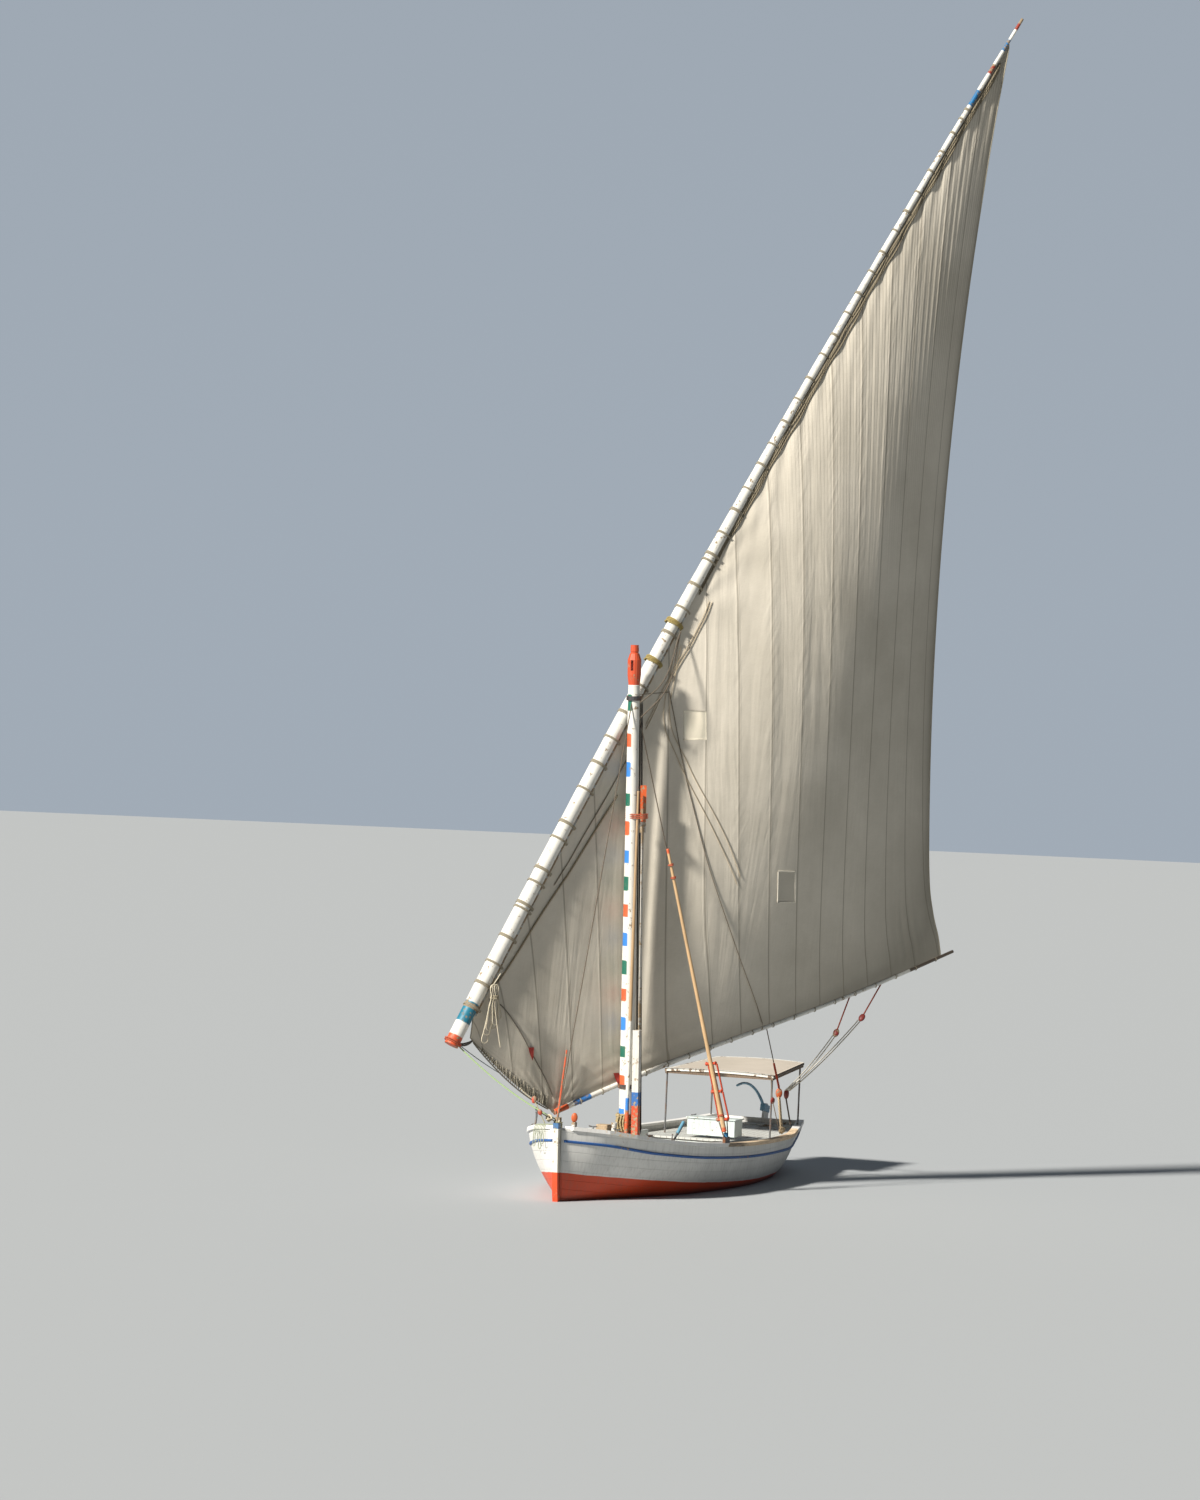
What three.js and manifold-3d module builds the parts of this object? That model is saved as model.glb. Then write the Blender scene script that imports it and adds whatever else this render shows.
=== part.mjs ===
// River felucca: an open wooden sailing boat with one raked mast and a lateen rig.
// Units are millimetres. +X is the bow, +Y is port, +Z is up.
// The origin is on the centreline amidships, at the waterline.
import * as THREE from "three";
import { mergeVertices } from "three/addons/utils/BufferGeometryUtils.js";
import Module from "manifold-3d";

const wasm = await Module();
wasm.setup();

// Driving dimensions of the hull
const LENGTH = 9400;
const STEM_X = 4700;
const WALL = 45;
const KEEL_HALF = 36;
const SEAT_GAP = 0.4;
const SECTION_STEPS = 12;
const STATION_STEPS = 22;

// Hull lines. Columns: fraction of the length from the stem, half breadth at the sheer,
// sheer height, keel line height, fullness a, roundness b.
const LINES = [
  [0.000, 62, 1150, -430, 1.05, 0.80],
  [0.065, 640, 1075, -455, 1.15, 0.80],
  [0.160, 1100, 930, -470, 1.60, 0.74],
  [0.320, 1440, 800, -480, 2.50, 0.66],
  [0.530, 1510, 715, -480, 3.00, 0.60],
  [0.750, 1360, 690, -430, 2.60, 0.64],
  [0.900, 1040, 740, -300, 2.00, 0.72],
  [1.000, 790, 800, -170, 1.70, 0.78],
];

// Stem and stern profiles. Columns: height, distance in from the end of the length.
const STEM_PROFILE = [[-480, 620], [-300, 300], [0, 110], [500, 45], [1250, 0]];
const STERN_PROFILE = [[-480, 420], [0, 190], [900, 0]];

// Decks, well and cockpit
const DECK_DROP = 95;
const DECK_THICK = 32;
const FOREDECK = [0.035, 0.385];
const WELL = [0.385, 0.700];
const STERN_DECK = [0.700, 0.975];
const SIDE_DECK_INNER = 1010;
const SOLE_Z = -170;
const BENCH_Z = 260;

// Centreboard case, standing on the keel inside the well
const CASE_HALF = 62;
const CASE_FORE = -60;
const CASE_AFT = -1480;
const CASE_TOP = 430;
const SLOT_HALF = 22;
const BOARD_HALF = 12;

// Rig: the mast leans forward, and the yard, boom and sail swing about it
const MAST_X = 1700;
const MAST_RAKE = THREE.MathUtils.degToRad(4);
const MAST_STEP_TOP = -290;
const MAST_TOP = 8790;
const MAST_HEAD_LENGTH = 640;
const MAST_R_FOOT = 128;
const MAST_R_TOP = 88;
const RIG_EASE = THREE.MathUtils.degToRad(35);
const YARD_OFFSET = 262;
const BOOM_OFFSET = 225;
const YARD_HEEL = [-3170, 2470];
const YARD_PEAK = [7830, 19370];
const YARD_BOW = 215;
const BOOM_TACK = [-1240, 1290];
const BOOM_END = [6760, 3550];

// Small helpers for closed meshes
const lerp = THREE.MathUtils.lerp;

function tableValue(table, at, column) {
  // Monotone cubic interpolation of one column of a table whose first column is the place.
  let k = 0;
  while (k < table.length - 2 && at > table[k + 1][0]) k += 1;
  const slope = (i) => (table[i + 1][column] - table[i][column]) / (table[i + 1][0] - table[i][0]);
  const tangent = (i) => {
    if (i === 0) return slope(0);
    if (i === table.length - 1) return slope(i - 1);
    const [a, b] = [slope(i - 1), slope(i)];
    return a * b <= 0 ? 0 : (2 * a * b) / (a + b);
  };
  const span = table[k + 1][0] - table[k][0];
  const t = THREE.MathUtils.clamp((at - table[k][0]) / span, 0, 1);
  const [p, q] = [table[k][column], table[k + 1][column]];
  const [m, n] = [tangent(k) * span, tangent(k + 1) * span];
  const t2 = t * t;
  const t3 = t2 * t;
  return (2 * t3 - 3 * t2 + 1) * p + (t3 - 2 * t2 + t) * m + (3 * t2 - 2 * t3) * q + (t3 - t2) * n;
}

function closedGeometry(positions, faces) {
  const geometry = new THREE.BufferGeometry();
  geometry.setAttribute("position", new THREE.Float32BufferAttribute(positions.flat(), 3));
  geometry.setIndex(faces.flat());
  return geometry;
}

function volumeOf(geometry) {
  const flat = geometry.index ? geometry.toNonIndexed() : geometry;
  const p = flat.attributes.position;
  let sum = 0;
  const [a, b, c] = [new THREE.Vector3(), new THREE.Vector3(), new THREE.Vector3()];
  for (let i = 0; i < p.count; i += 3) {
    a.fromBufferAttribute(p, i);
    b.fromBufferAttribute(p, i + 1);
    c.fromBufferAttribute(p, i + 2);
    sum += a.dot(b.cross(c)) / 6;
  }
  return sum;
}

function outward(geometry) {
  // Turns every face over when the mesh is inside out.
  if (volumeOf(geometry) >= 0) return geometry;
  const index = Array.from(geometry.index.array);
  for (let i = 0; i < index.length; i += 3) {
    [index[i + 1], index[i + 2]] = [index[i + 2], index[i + 1]];
  }
  geometry.setIndex(index);
  return geometry;
}

function ringLoft(rings, mirrored = false) {
  // Joins closed rings of equal count into a tube. Its ends close with a fan, or with rungs
  // from each point to its mirror image where a ring runs from one top edge to the other.
  const count = rings[0].length;
  const faces = [];
  for (let i = 0; i < rings.length - 1; i += 1) {
    for (let j = 0; j < count; j += 1) {
      const a = i * count + j;
      const b = i * count + ((j + 1) % count);
      faces.push([a, b, b + count], [a, b + count, a + count]);
    }
  }
  const last = (rings.length - 1) * count;
  const rung = (j) => [j, j + 1, count - 1 - j, count - 2 - j];
  for (let j = 1; j < count - 1 && !mirrored; j += 1) {
    faces.push([0, j + 1, j], [last, last + j, last + j + 1]);
  }
  for (let j = 0; j < count / 2 - 1 && mirrored; j += 1) {
    const [a, b, c, d] = rung(j);
    faces.push([a, d, b], [a, c, d], [last + a, last + b, last + d], [last + a, last + d, last + c]);
  }
  return outward(closedGeometry(rings.flat(), faces));
}

function toSolid(geometry) {
  const bare = geometry.clone();
  bare.deleteAttribute("normal");
  bare.deleteAttribute("uv");
  const merged = mergeVertices(bare, 0.0005);
  return new wasm.Manifold(new wasm.Mesh({
    numProp: 3,
    vertProperties: new Float32Array(merged.attributes.position.array),
    triVerts: new Uint32Array(merged.index.array),
  }));
}

function toGeometry(solid) {
  const mesh = solid.getMesh();
  const geometry = new THREE.BufferGeometry();
  geometry.setAttribute("position", new THREE.Float32BufferAttribute(mesh.vertProperties, 3));
  geometry.setIndex(Array.from(mesh.triVerts));
  return geometry;
}

function cut(geometry, ...tools) {
  let solid = toSolid(geometry);
  for (const tool of tools) solid = solid.subtract(toSolid(tool));
  return toGeometry(solid);
}

function join(...pieces) {
  let solid = toSolid(pieces[0]);
  for (const piece of pieces.slice(1)) solid = solid.add(toSolid(piece));
  return toGeometry(solid);
}

function box(low, high) {
  const size = high.map((value, i) => value - low[i]);
  const geometry = new THREE.BoxGeometry(size[0], size[1], size[2]);
  geometry.translate((low[0] + high[0]) / 2, (low[1] + high[1]) / 2, (low[2] + high[2]) / 2);
  return geometry;
}

function bar(points, radii, sides = 10) {
  // A round spar along a path, with its own radius at each point.
  const path = points.map((p) => new THREE.Vector3(...p));
  const rings = path.map((p, i) => {
    const before = path[Math.max(i - 1, 0)];
    const after = path[Math.min(i + 1, path.length - 1)];
    const along = after.clone().sub(before).normalize();
    const helper = Math.abs(along.y) < 0.9 ? new THREE.Vector3(0, 1, 0) : new THREE.Vector3(1, 0, 0);
    const across = new THREE.Vector3().crossVectors(along, helper).normalize();
    const side = new THREE.Vector3().crossVectors(along, across);
    const radius = Array.isArray(radii) ? radii[i] : radii;
    return Array.from({ length: sides }, (_, k) => {
      const angle = (2 * Math.PI * (k + 0.5)) / sides;
      const point = p.clone()
        .addScaledVector(across, radius * Math.cos(angle))
        .addScaledVector(side, radius * Math.sin(angle));
      return point.toArray();
    });
  });
  return ringLoft(rings);
}

function ringAround(outer, inner, height, sides) {
  // A flat collar about the Z axis.
  const profile = [[inner, 0], [outer, 0], [outer, height], [inner, height], [inner, 0]];
  const geometry = new THREE.LatheGeometry(profile.map(([r, z]) => new THREE.Vector2(r, z)), sides);
  geometry.rotateX(Math.PI / 2);
  return outward(mergeVertices(stripped(geometry), 0.0005));
}

function stripped(geometry) {
  geometry.deleteAttribute("normal");
  geometry.deleteAttribute("uv");
  return geometry;
}

// Hull surface: s runs from the stem (0) to the stern (1), h from the keel (0) to the sheer (1)
function profileValue(profile, z) {
  return tableValue(profile, z, 1);
}

function stationX(s, z) {
  const bow = STEM_X - profileValue(STEM_PROFILE, z);
  const stern = STEM_X - LENGTH + profileValue(STERN_PROFILE, z);
  return lerp(bow, stern, s);
}

function hullPoint(s, h, side, inset = 0) {
  const sheer = tableValue(LINES, s, 2);
  const keel = tableValue(LINES, s, 3);
  const half = tableValue(LINES, s, 1);
  const a = tableValue(LINES, s, 4);
  const b = tableValue(LINES, s, 5);
  const z = keel + h * (sheer - keel);
  const spread = (1 - (1 - h) ** a) ** b;
  const y = KEEL_HALF + (half - KEEL_HALF) * spread;
  return [stationX(s, z), side * Math.max(y - inset, 2), z + inset * (1 - h)];
}

function halfBreadth(s, z) {
  const sheer = tableValue(LINES, s, 2);
  const keel = tableValue(LINES, s, 3);
  const h = THREE.MathUtils.clamp((z - keel) / (sheer - keel), 0, 1);
  return hullPoint(s, h, 1)[1];
}

function sectionSteps() {
  // Places round a section, closer together at the turn of the bilge.
  return Array.from({ length: SECTION_STEPS + 1 }, (_, j) => (j / SECTION_STEPS) ** 1.35);
}

function hullSolid(inset, from, to, lift) {
  // The hull as one solid, moved in by inset, and raised by lift above the sheer.
  const rings = [];
  for (let i = 0; i <= STATION_STEPS; i += 1) {
    const s = lerp(from, to, i / STATION_STEPS);
    const port = sectionSteps().map((h) => hullPoint(s, h, 1, inset));
    if (lift > 0) {
      const top = port[SECTION_STEPS];
      port.push([top[0], top[1], top[2] + lift]);
    }
    const starboard = port.map(([x, y, z]) => [x, -y, z]).reverse();
    rings.push([...starboard, ...port]);
  }
  return ringLoft(rings, true);
}

const outerHull = hullSolid(0, 0, 1, 0);
const outerSeat = hullSolid(-SEAT_GAP, 0, 1, 60);
const innerHull = hullSolid(WALL, 0.022, 0.992, 300);
const innerSeat = hullSolid(WALL + SEAT_GAP, 0.022, 0.992, 300);

function insideHull(geometry) {
  return toGeometry(toSolid(geometry).intersect(toSolid(innerSeat)));
}

function deckField(s0, s1, inner, side, thick, lift) {
  // A block whose top follows the sheer, lifted a little above the deck's own top.
  const steps = 10;
  const rings = [];
  for (let i = 0; i <= steps; i += 1) {
    const s = lerp(s0, s1, i / steps);
    const top = tableValue(LINES, s, 2) - DECK_DROP + lift;
    const x = stationX(s, top);
    const out = tableValue(LINES, s, 1) + 200;
    const [a, b] = side === 0 ? [-out, out] : [inner * side, out * side];
    rings.push([[x, a, top - thick], [x, b, top - thick], [x, b, top], [x, a, top]]);
  }
  return ringLoft(rings);
}

function sheerDeck(s0, s1, inner, side) {
  // A deck that follows the sheer, between the hull and the inner line.
  return insideHull(deckField(s0, s1, inner, side, DECK_THICK, 0));
}

function alongSheer(side, s0, s1, drop, height, inner, proud, steps = 20) {
  // A rail along the hull: its inner and outer edges are measured from the hull's side.
  const rings = [];
  for (let i = 0; i <= steps; i += 1) {
    const s = lerp(s0, s1, i / steps);
    const z = tableValue(LINES, s, 2) - drop;
    const x = stationX(s, z);
    const y = halfBreadth(s, z);
    const [a, b] = [side * Math.max(y - inner, 8), side * (y + proud)];
    rings.push([[x, a, z - height], [x, b, z - height], [x, b, z], [x, a, z]]);
  }
  return ringLoft(rings);
}


// Scene graph: the hull's parts in the boat frame, the rig's parts in their own turned group
const boat = new THREE.Group();
const mastGroup = new THREE.Group();
mastGroup.position.set(MAST_X, 0, 0);
mastGroup.rotation.y = MAST_RAKE;
const rigGroup = new THREE.Group();
rigGroup.rotation.z = Math.PI - RIG_EASE;
mastGroup.add(rigGroup);
boat.add(mastGroup);

const PAINT = {
  white: [0xe9e6dd, 0.6, 0],
  blue: [0x1f4f9c, 0.5, 0],
  red: [0xd2461f, 0.5, 0],
  bare: [0xb58a5a, 0.8, 0],
  pole: [0xc9a06a, 0.7, 0],
  canvas: [0xcbbd9f, 0.95, 0],
  rope: [0x9a8a68, 0.95, 0],
  steel: [0x4b4a48, 0.6, 0.6],
  mattress: [0xb8a27c, 0.95, 0],
};

function add(name, geometry, paint, group = boat) {
  const [color, roughness, metalness] = PAINT[paint];
  const mesh = new THREE.Mesh(geometry, new THREE.MeshStandardMaterial({ color, roughness, metalness }));
  mesh.name = name;
  group.add(mesh);
  return mesh;
}

// Hull shell: planked sides and bottom, open at the top
const slot = box([CASE_AFT + 40, -SLOT_HALF, -900], [CASE_FORE - 40, SLOT_HALF, 900]);
add("hull_shell", cut(outerHull, innerHull, slot), "white");

// Stem post: it stands ahead of the planking, from the forefoot to above the sheer
const STEM_DEPTH = 95;
const STEM_HALF = 44;
const STEM_HEAD_Z = 1225;
const STEM_FOOT_Z = -500;
function stemPost() {
  const shape = new THREE.Shape();
  const aft = sectionSteps().map((h) => hullPoint(0, h, 1)).map(([x, , z]) => [x + SEAT_GAP, z]);
  aft.unshift([aft[0][0] - 70, STEM_FOOT_Z]);
  aft.push([STEM_X + SEAT_GAP, STEM_HEAD_Z]);
  const fore = aft.map(([x, z]) => [x + STEM_DEPTH, z]).reverse();
  [...aft, ...fore].forEach(([x, z], i) => (i ? shape.lineTo(x, z) : shape.moveTo(x, z)));
  const geometry = new THREE.ExtrudeGeometry(shape, { depth: 2 * STEM_HALF, bevelEnabled: false });
  geometry.rotateX(Math.PI / 2);
  geometry.translate(0, STEM_HALF, 0);
  return geometry;
}
add("stem_post", stemPost(), "white");

// Keel: a straight timber under the hull, deep aft where it carries the rudder
const KEEL_BOTTOM = -640;
const KEEL_FORE_X = 4010;
const KEEL_AFT_X = -4345;
function keelTimber() {
  const shape = new THREE.Shape();
  shape.moveTo(KEEL_FORE_X + 40, -505);
  shape.lineTo(KEEL_FORE_X - 260, KEEL_BOTTOM);
  shape.lineTo(KEEL_AFT_X - 60, KEEL_BOTTOM);
  shape.lineTo(KEEL_AFT_X - 90, -185);
  shape.lineTo(KEEL_AFT_X, 60);
  shape.lineTo(KEEL_AFT_X + 600, 60);
  shape.lineTo(2500, -300);
  shape.lineTo(3600, -300);
  const geometry = new THREE.ExtrudeGeometry(shape, { depth: 2 * KEEL_HALF, bevelEnabled: false });
  geometry.rotateX(Math.PI / 2);
  geometry.translate(0, KEEL_HALF, 0);
  return geometry;
}
function largestBody(geometry) {
  // Keeps the largest of the separate bodies that a cut leaves.
  const bodies = toSolid(geometry).decompose();
  bodies.sort((a, b) => b.volume() - a.volume());
  return toGeometry(bodies[0]);
}
add("keel", cut(largestBody(cut(keelTimber(), outerSeat)), slot), "red");

// Transom: a flat board that closes the stern
const TRANSOM_THICK = 55;
function transomBoard(fore, aft) {
  const ring = sectionSteps().map((h) => hullPoint(1, h, 1, -8));
  const full = [...ring.map(([x, y, z]) => [x, -y, z]).reverse(), ...ring];
  const shift = (points, dx) => points.map(([x, y, z]) => [x + dx, y, z]);
  return ringLoft([shift(full, fore), shift(full, aft)], true);
}
add("transom", transomBoard(-SEAT_GAP, -TRANSOM_THICK), "white");
const transomSeat = transomBoard(400, -TRANSOM_THICK - SEAT_GAP);

const sheerSeat = hullSolid(-SEAT_GAP, 0, 1, 0).translate(0, 0, SEAT_GAP);

// Rails: the cap rail lies on the sheer, the rub rail runs along the side under it
const SIDES = [["port", 1], ["starboard", -1]];
for (const [name, side] of SIDES) {
  const cap = alongSheer(side, 0.012, 0.985, -38, 60, 95, 42);
  add(`cap_rail_${name}`, largestBody(cut(cap, sheerSeat)), "white");
  const rub = alongSheer(side, 0.012, 0.985, 185, 62, 30, 26);
  add(`rub_rail_${name}`, largestBody(cut(rub, outerSeat)), "blue");
}

// Mast partners: the deck is cut round the mast
function mastBore(radius) {
  const geometry = new THREE.CylinderGeometry(radius, radius, 3000, 16);
  geometry.rotateX(Math.PI / 2);
  geometry.rotateY(MAST_RAKE);
  geometry.translate(MAST_X + 700 * Math.tan(MAST_RAKE), 0, 700);
  return geometry;
}

// Decks: foredeck, side decks along the well, and stern deck
const foredeck = sheerDeck(FOREDECK[0], FOREDECK[1], 0, 0);
add("foredeck", cut(foredeck, mastBore(MAST_R_FOOT + 22)), "white");
for (const [name, side] of SIDES) {
  const deck = sheerDeck(WELL[0] + 0.0008, WELL[1] - 0.0008, SIDE_DECK_INNER, side);
  add(`side_deck_${name}`, deck, "white");
}
add("stern_deck", sheerDeck(STERN_DECK[0], STERN_DECK[1], 0, 0), "white");

// Coamings: low boards on edge round the well, one each side
const COAMING_TOP = 95;
for (const [name, side] of SIDES) {
  const rings = [];
  for (let i = 0; i <= 8; i += 1) {
    const s = lerp(WELL[0] + 0.006, WELL[1] - 0.006, i / 8);
    const top = tableValue(LINES, s, 2) - DECK_DROP;
    const x = stationX(s, top);
    const [a, b] = [side * (SIDE_DECK_INNER - 36), side * (SIDE_DECK_INNER - SEAT_GAP)];
    rings.push([[x, a, top - 190], [x, b, top - 190], [x, b, top + COAMING_TOP], [x, a, top + COAMING_TOP]]);
  }
  add(`coaming_${name}`, ringLoft(rings), "white");
}

// Bulkheads: athwartships boards under the ends of the well
function bulkhead(s, thick, [s0, s1]) {
  const sheer = tableValue(LINES, s, 2);
  const z = sheer - DECK_DROP - DECK_THICK - SEAT_GAP;
  const x = stationX(s, sheer - DECK_DROP);
  const deckAbove = deckField(s0, s1, 0, 0, 400 + DECK_THICK + SEAT_GAP, 400);
  return cut(insideHull(box([x - thick / 2, -1700, -700], [x + thick / 2, 1700, z + 20])), deckAbove);
}
add("bulkhead_fore", bulkhead(WELL[0] - 0.006, 34, FOREDECK), "white");
add("bulkhead_aft", bulkhead(WELL[1] + 0.006, 34, STERN_DECK), "white");

// Sole: the floor of the well, between the bulkheads
const wellForeX = stationX(WELL[0] - 0.006, 0) - 17 - SEAT_GAP - 12;
const wellAftX = stationX(WELL[1] + 0.006, 0) + 17 + SEAT_GAP + 12;
const soleBoard = insideHull(box([wellAftX, -1700, SOLE_Z - 28], [wellForeX, 1700, SOLE_Z]));
const caseRoom = box([CASE_AFT - 1, -CASE_HALF - 1, -900], [CASE_FORE + 1, CASE_HALF + 1, 900]);
add("sole", cut(soleBoard, caseRoom), "bare");

// Benches: one along each side of the well, with a mattress on each
const BENCH_WIDTH = 520;
const BENCH_EDGE = 560;
for (const [name, side] of SIDES) {
  const reach = [side * BENCH_EDGE, side * (BENCH_EDGE + 1200)].sort((a, b) => a - b);
  const seat = box([wellAftX + 20, reach[0], BENCH_Z - 30], [wellForeX - 20, reach[1], BENCH_Z]);
  const faceY = [side * (BENCH_EDGE + 40), side * (BENCH_EDGE + 70)].sort((a, b) => a - b);
  const face = box([wellAftX + 20, faceY[0], SOLE_Z + SEAT_GAP], [wellForeX - 20, faceY[1], BENCH_Z - 15]);
  add(`bench_${name}`, insideHull(join(seat, face)), "white");
  const padY = [side * (BENCH_EDGE + 15), side * (BENCH_EDGE + BENCH_WIDTH)].sort((a, b) => a - b);
  const pad = box([wellAftX + 80, padY[0], BENCH_Z + SEAT_GAP], [wellForeX - 80, padY[1], BENCH_Z + 85]);
  add(`mattress_${name}`, pad, "mattress");
}

// Centreboard case: a narrow box open at top and bottom, standing over the slot in the hull
const caseBlock = box([CASE_AFT, -CASE_HALF, -700], [CASE_FORE, CASE_HALF, CASE_TOP]);
add("centreboard_case", insideHull(cut(caseBlock, slot)), "white");

// Centreboard: an iron plate on a pin through the keel, with a lever that stands out of the case
const BOARD_PIN = [-215, -520];
const BOARD_NOSE = 88;
const BOARD_LENGTH = 1200;
const BOARD_TOP = 330;
const LEVER_LEAN = 0.21;
function centreboard() {
  const shape = new THREE.Shape();
  const [px, pz] = BOARD_PIN;
  shape.moveTo(px + BOARD_NOSE, pz);
  shape.lineTo(px + BOARD_NOSE, BOARD_TOP - 60);
  shape.lineTo(px - 30, BOARD_TOP);
  const topAngle = Math.PI - Math.asin((BOARD_TOP - pz) / BOARD_LENGTH);
  shape.absarc(px, pz, BOARD_LENGTH, topAngle, Math.PI, false);
  shape.lineTo(px - BOARD_LENGTH + 50, pz - BOARD_NOSE);
  shape.lineTo(px, pz - BOARD_NOSE);
  shape.absarc(px, pz, BOARD_NOSE, -Math.PI / 2, 0, false);
  const plate = new THREE.ExtrudeGeometry(shape, { depth: 2 * BOARD_HALF, bevelEnabled: false, curveSegments: 6 });
  plate.rotateX(Math.PI / 2);
  plate.translate(0, BOARD_HALF, 0);
  const pin = new THREE.CylinderGeometry(14, 14, 2 * (SLOT_HALF - SEAT_GAP), 10);
  pin.translate(px, 0, pz);
  const foot = [px - 60, 0, BOARD_TOP - 80];
  const reach = CASE_TOP + 330 - foot[2];
  const lever = bar([foot, [foot[0] - reach * LEVER_LEAN, 0, foot[2] + reach]], BOARD_HALF - 1, 8);
  return join(plate, pin, lever);
}
add("centreboard", centreboard(), "steel");

// Mast: one tapered pole on a step, through the foredeck, with a bored head for the halyard
function mastRadius(w) {
  return lerp(MAST_R_FOOT, MAST_R_TOP, (w - MAST_STEP_TOP) / (MAST_TOP - MAST_STEP_TOP));
}
const MAST_SIDES = 16;
const headFoot = MAST_TOP - MAST_HEAD_LENGTH;
function mastPole(grow) {
  const ends = [[0, 0, MAST_STEP_TOP + SEAT_GAP], [0, 0, headFoot]];
  return bar(ends, ends.map(([, , w]) => mastRadius(w) + grow), MAST_SIDES);
}
add("mast", mastPole(0), "white", mastGroup);

function mastHead() {
  const r = mastRadius(headFoot);
  const profile = [[0, 0], [r, 0], [r + 18, 160], [r + 20, 400], [r - 14, 500], [r - 30, 520],
    [r - 22, 540], [r - 26, MAST_HEAD_LENGTH], [0, MAST_HEAD_LENGTH]];
  const geometry = new THREE.LatheGeometry(profile.map(([x, y]) => new THREE.Vector2(x, y)), MAST_SIDES);
  geometry.rotateX(Math.PI / 2);
  geometry.translate(0, 0, headFoot + SEAT_GAP);
  const sheaveSlot = box([-200, -22, headFoot + 230], [200, 22, headFoot + 400]);
  return cut(outward(mergeVertices(stripped(geometry), 0.0005)), sheaveSlot);
}
add("mast_head", mastHead(), "red", mastGroup);

boat.updateMatrixWorld(true);
function inBoat(geometry, group = mastGroup) {
  // Moves a mesh from a turned group into the boat frame.
  return geometry.clone().applyMatrix4(group.matrixWorld);
}
const mastSeat = inBoat(mastPole(SEAT_GAP));


// Mast step and partner: the step carries the heel, the partner closes the hole in the deck
const foredeckSeat = deckField(FOREDECK[0], FOREDECK[1], 0, 0, 1500, SEAT_GAP);
const sternDeckSeat = deckField(STERN_DECK[0], STERN_DECK[1], 0, 0, 1500, SEAT_GAP);
const stepBlock = inBoat(box([-210, -120, -520], [210, 120, MAST_STEP_TOP]));
add("mast_step", insideHull(stepBlock), "bare");
const PARTNER_TOP = tableValue(LINES, 0.32, 2) - DECK_DROP + 62;
const partnerBox = [[MAST_X - 190, -230, PARTNER_TOP - 140], [MAST_X + 290, 330, PARTNER_TOP]];
add("mast_partner", cut(box(...partnerBox), mastSeat, foredeckSeat), "white");
const partnerSeat = box([partnerBox[0][0], partnerBox[0][1], -200],
  [partnerBox[1][0], partnerBox[1][1], PARTNER_TOP + SEAT_GAP]);

// Post, oar and spare pole that lean with the mast: places ahead of it and to port of it
const STANDING_TOP = { post: 2600, oar: 6480, spare: 6450 };
const POST = { ahead: 118, port: 209, half: 55 };
const postBlock = box([POST.ahead - POST.half, POST.port - POST.half, 300],
  [POST.ahead + POST.half, POST.port + POST.half, STANDING_TOP.post]);
add("mast_post", cut(inBoat(postBlock), foredeckSeat, partnerSeat), "white");

const OAR = { foot: [-70, 178], top: [-62, 166], turn: 1.95 };
function oarShape() {
  const [x0, y0] = OAR.foot;
  const [x1, y1] = OAR.top;
  const at = (t) => [lerp(x0, x1, t), lerp(y0, y1, t), lerp(600, STANDING_TOP.oar, t)];
  const shaft = bar([at(0), at(0.9)], [26, 20], 8);
  const blade = box([-52, -11, 0], [52, 11, 760]);
  const end = at(0.88);
  blade.rotateZ(OAR.turn);
  blade.translate(end[0], end[1], end[2]);
  return inBoat(join(shaft, blade));
}
add("oar", cut(oarShape(), foredeckSeat, partnerSeat), "pole");
const SPARE = { foot: [205, 82], top: [62, 132] };
const sparePole = inBoat(bar([[SPARE.foot[0], SPARE.foot[1], 600], [SPARE.top[0], SPARE.top[1], STANDING_TOP.spare]],
  [34, 20], 8));
add("spare_pole", cut(sparePole, foredeckSeat, partnerSeat), "pole");

// Bow bitt: a square post on the foredeck for the mooring rope
const BITT = { x: 4170, y: -215, half: 42, top: 1270 };
add("bow_bitt", cut(box([BITT.x - BITT.half, BITT.y - BITT.half, 500],
  [BITT.x + BITT.half, BITT.y + BITT.half, BITT.top]), foredeckSeat), "bare");

// Stays: the forestay runs to the stem head, and the one shroud to an eye on the port cap rail.
// The eye to starboard takes the shroud when the sail is set on the other side.
const STAY_R = 9;
const FORESTAY_TOP_W = 8060;
const SHROUD_TOP_W = 8040;
const SHROUD_FOOT = [1080, 1478, 860];
const mastPoint = (w) => new THREE.Vector3(0, 0, w).applyMatrix4(mastGroup.matrixWorld).toArray();
const stemHead = [STEM_X + STEM_DEPTH / 2, 0, STEM_HEAD_Z - 20];
const stemTop = box([STEM_X - 100, -100, 900], [STEM_X + 200, 100, STEM_HEAD_Z + SEAT_GAP]);
add("forestay", cut(bar([stemHead, mastPoint(FORESTAY_TOP_W)], STAY_R, 8), mastSeat, stemTop), "rope");
const capSeats = SIDES.map(([, side]) => alongSheer(side, 0.012, 0.985, -38 - SEAT_GAP, 138, 95, 42));
for (const [i, [name, side]] of SIDES.entries()) {
  const foot = [SHROUD_FOOT[0], side * SHROUD_FOOT[1], SHROUD_FOOT[2]];
  const eye = box([foot[0] - 110, foot[1] - 24, foot[2] - 120], [foot[0] + 110, foot[1] + 24, foot[2] + 40]);
  add(`shroud_eye_${name}`, cut(eye, capSeats[i]), "steel");
}
const eyeTop = SHROUD_FOOT[2] + 40;
const eyeSeat = box([SHROUD_FOOT[0] - 140, SHROUD_FOOT[1] - 60, eyeTop - 200],
  [SHROUD_FOOT[0] + 140, SHROUD_FOOT[1] + 60, eyeTop + SEAT_GAP]);
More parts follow.
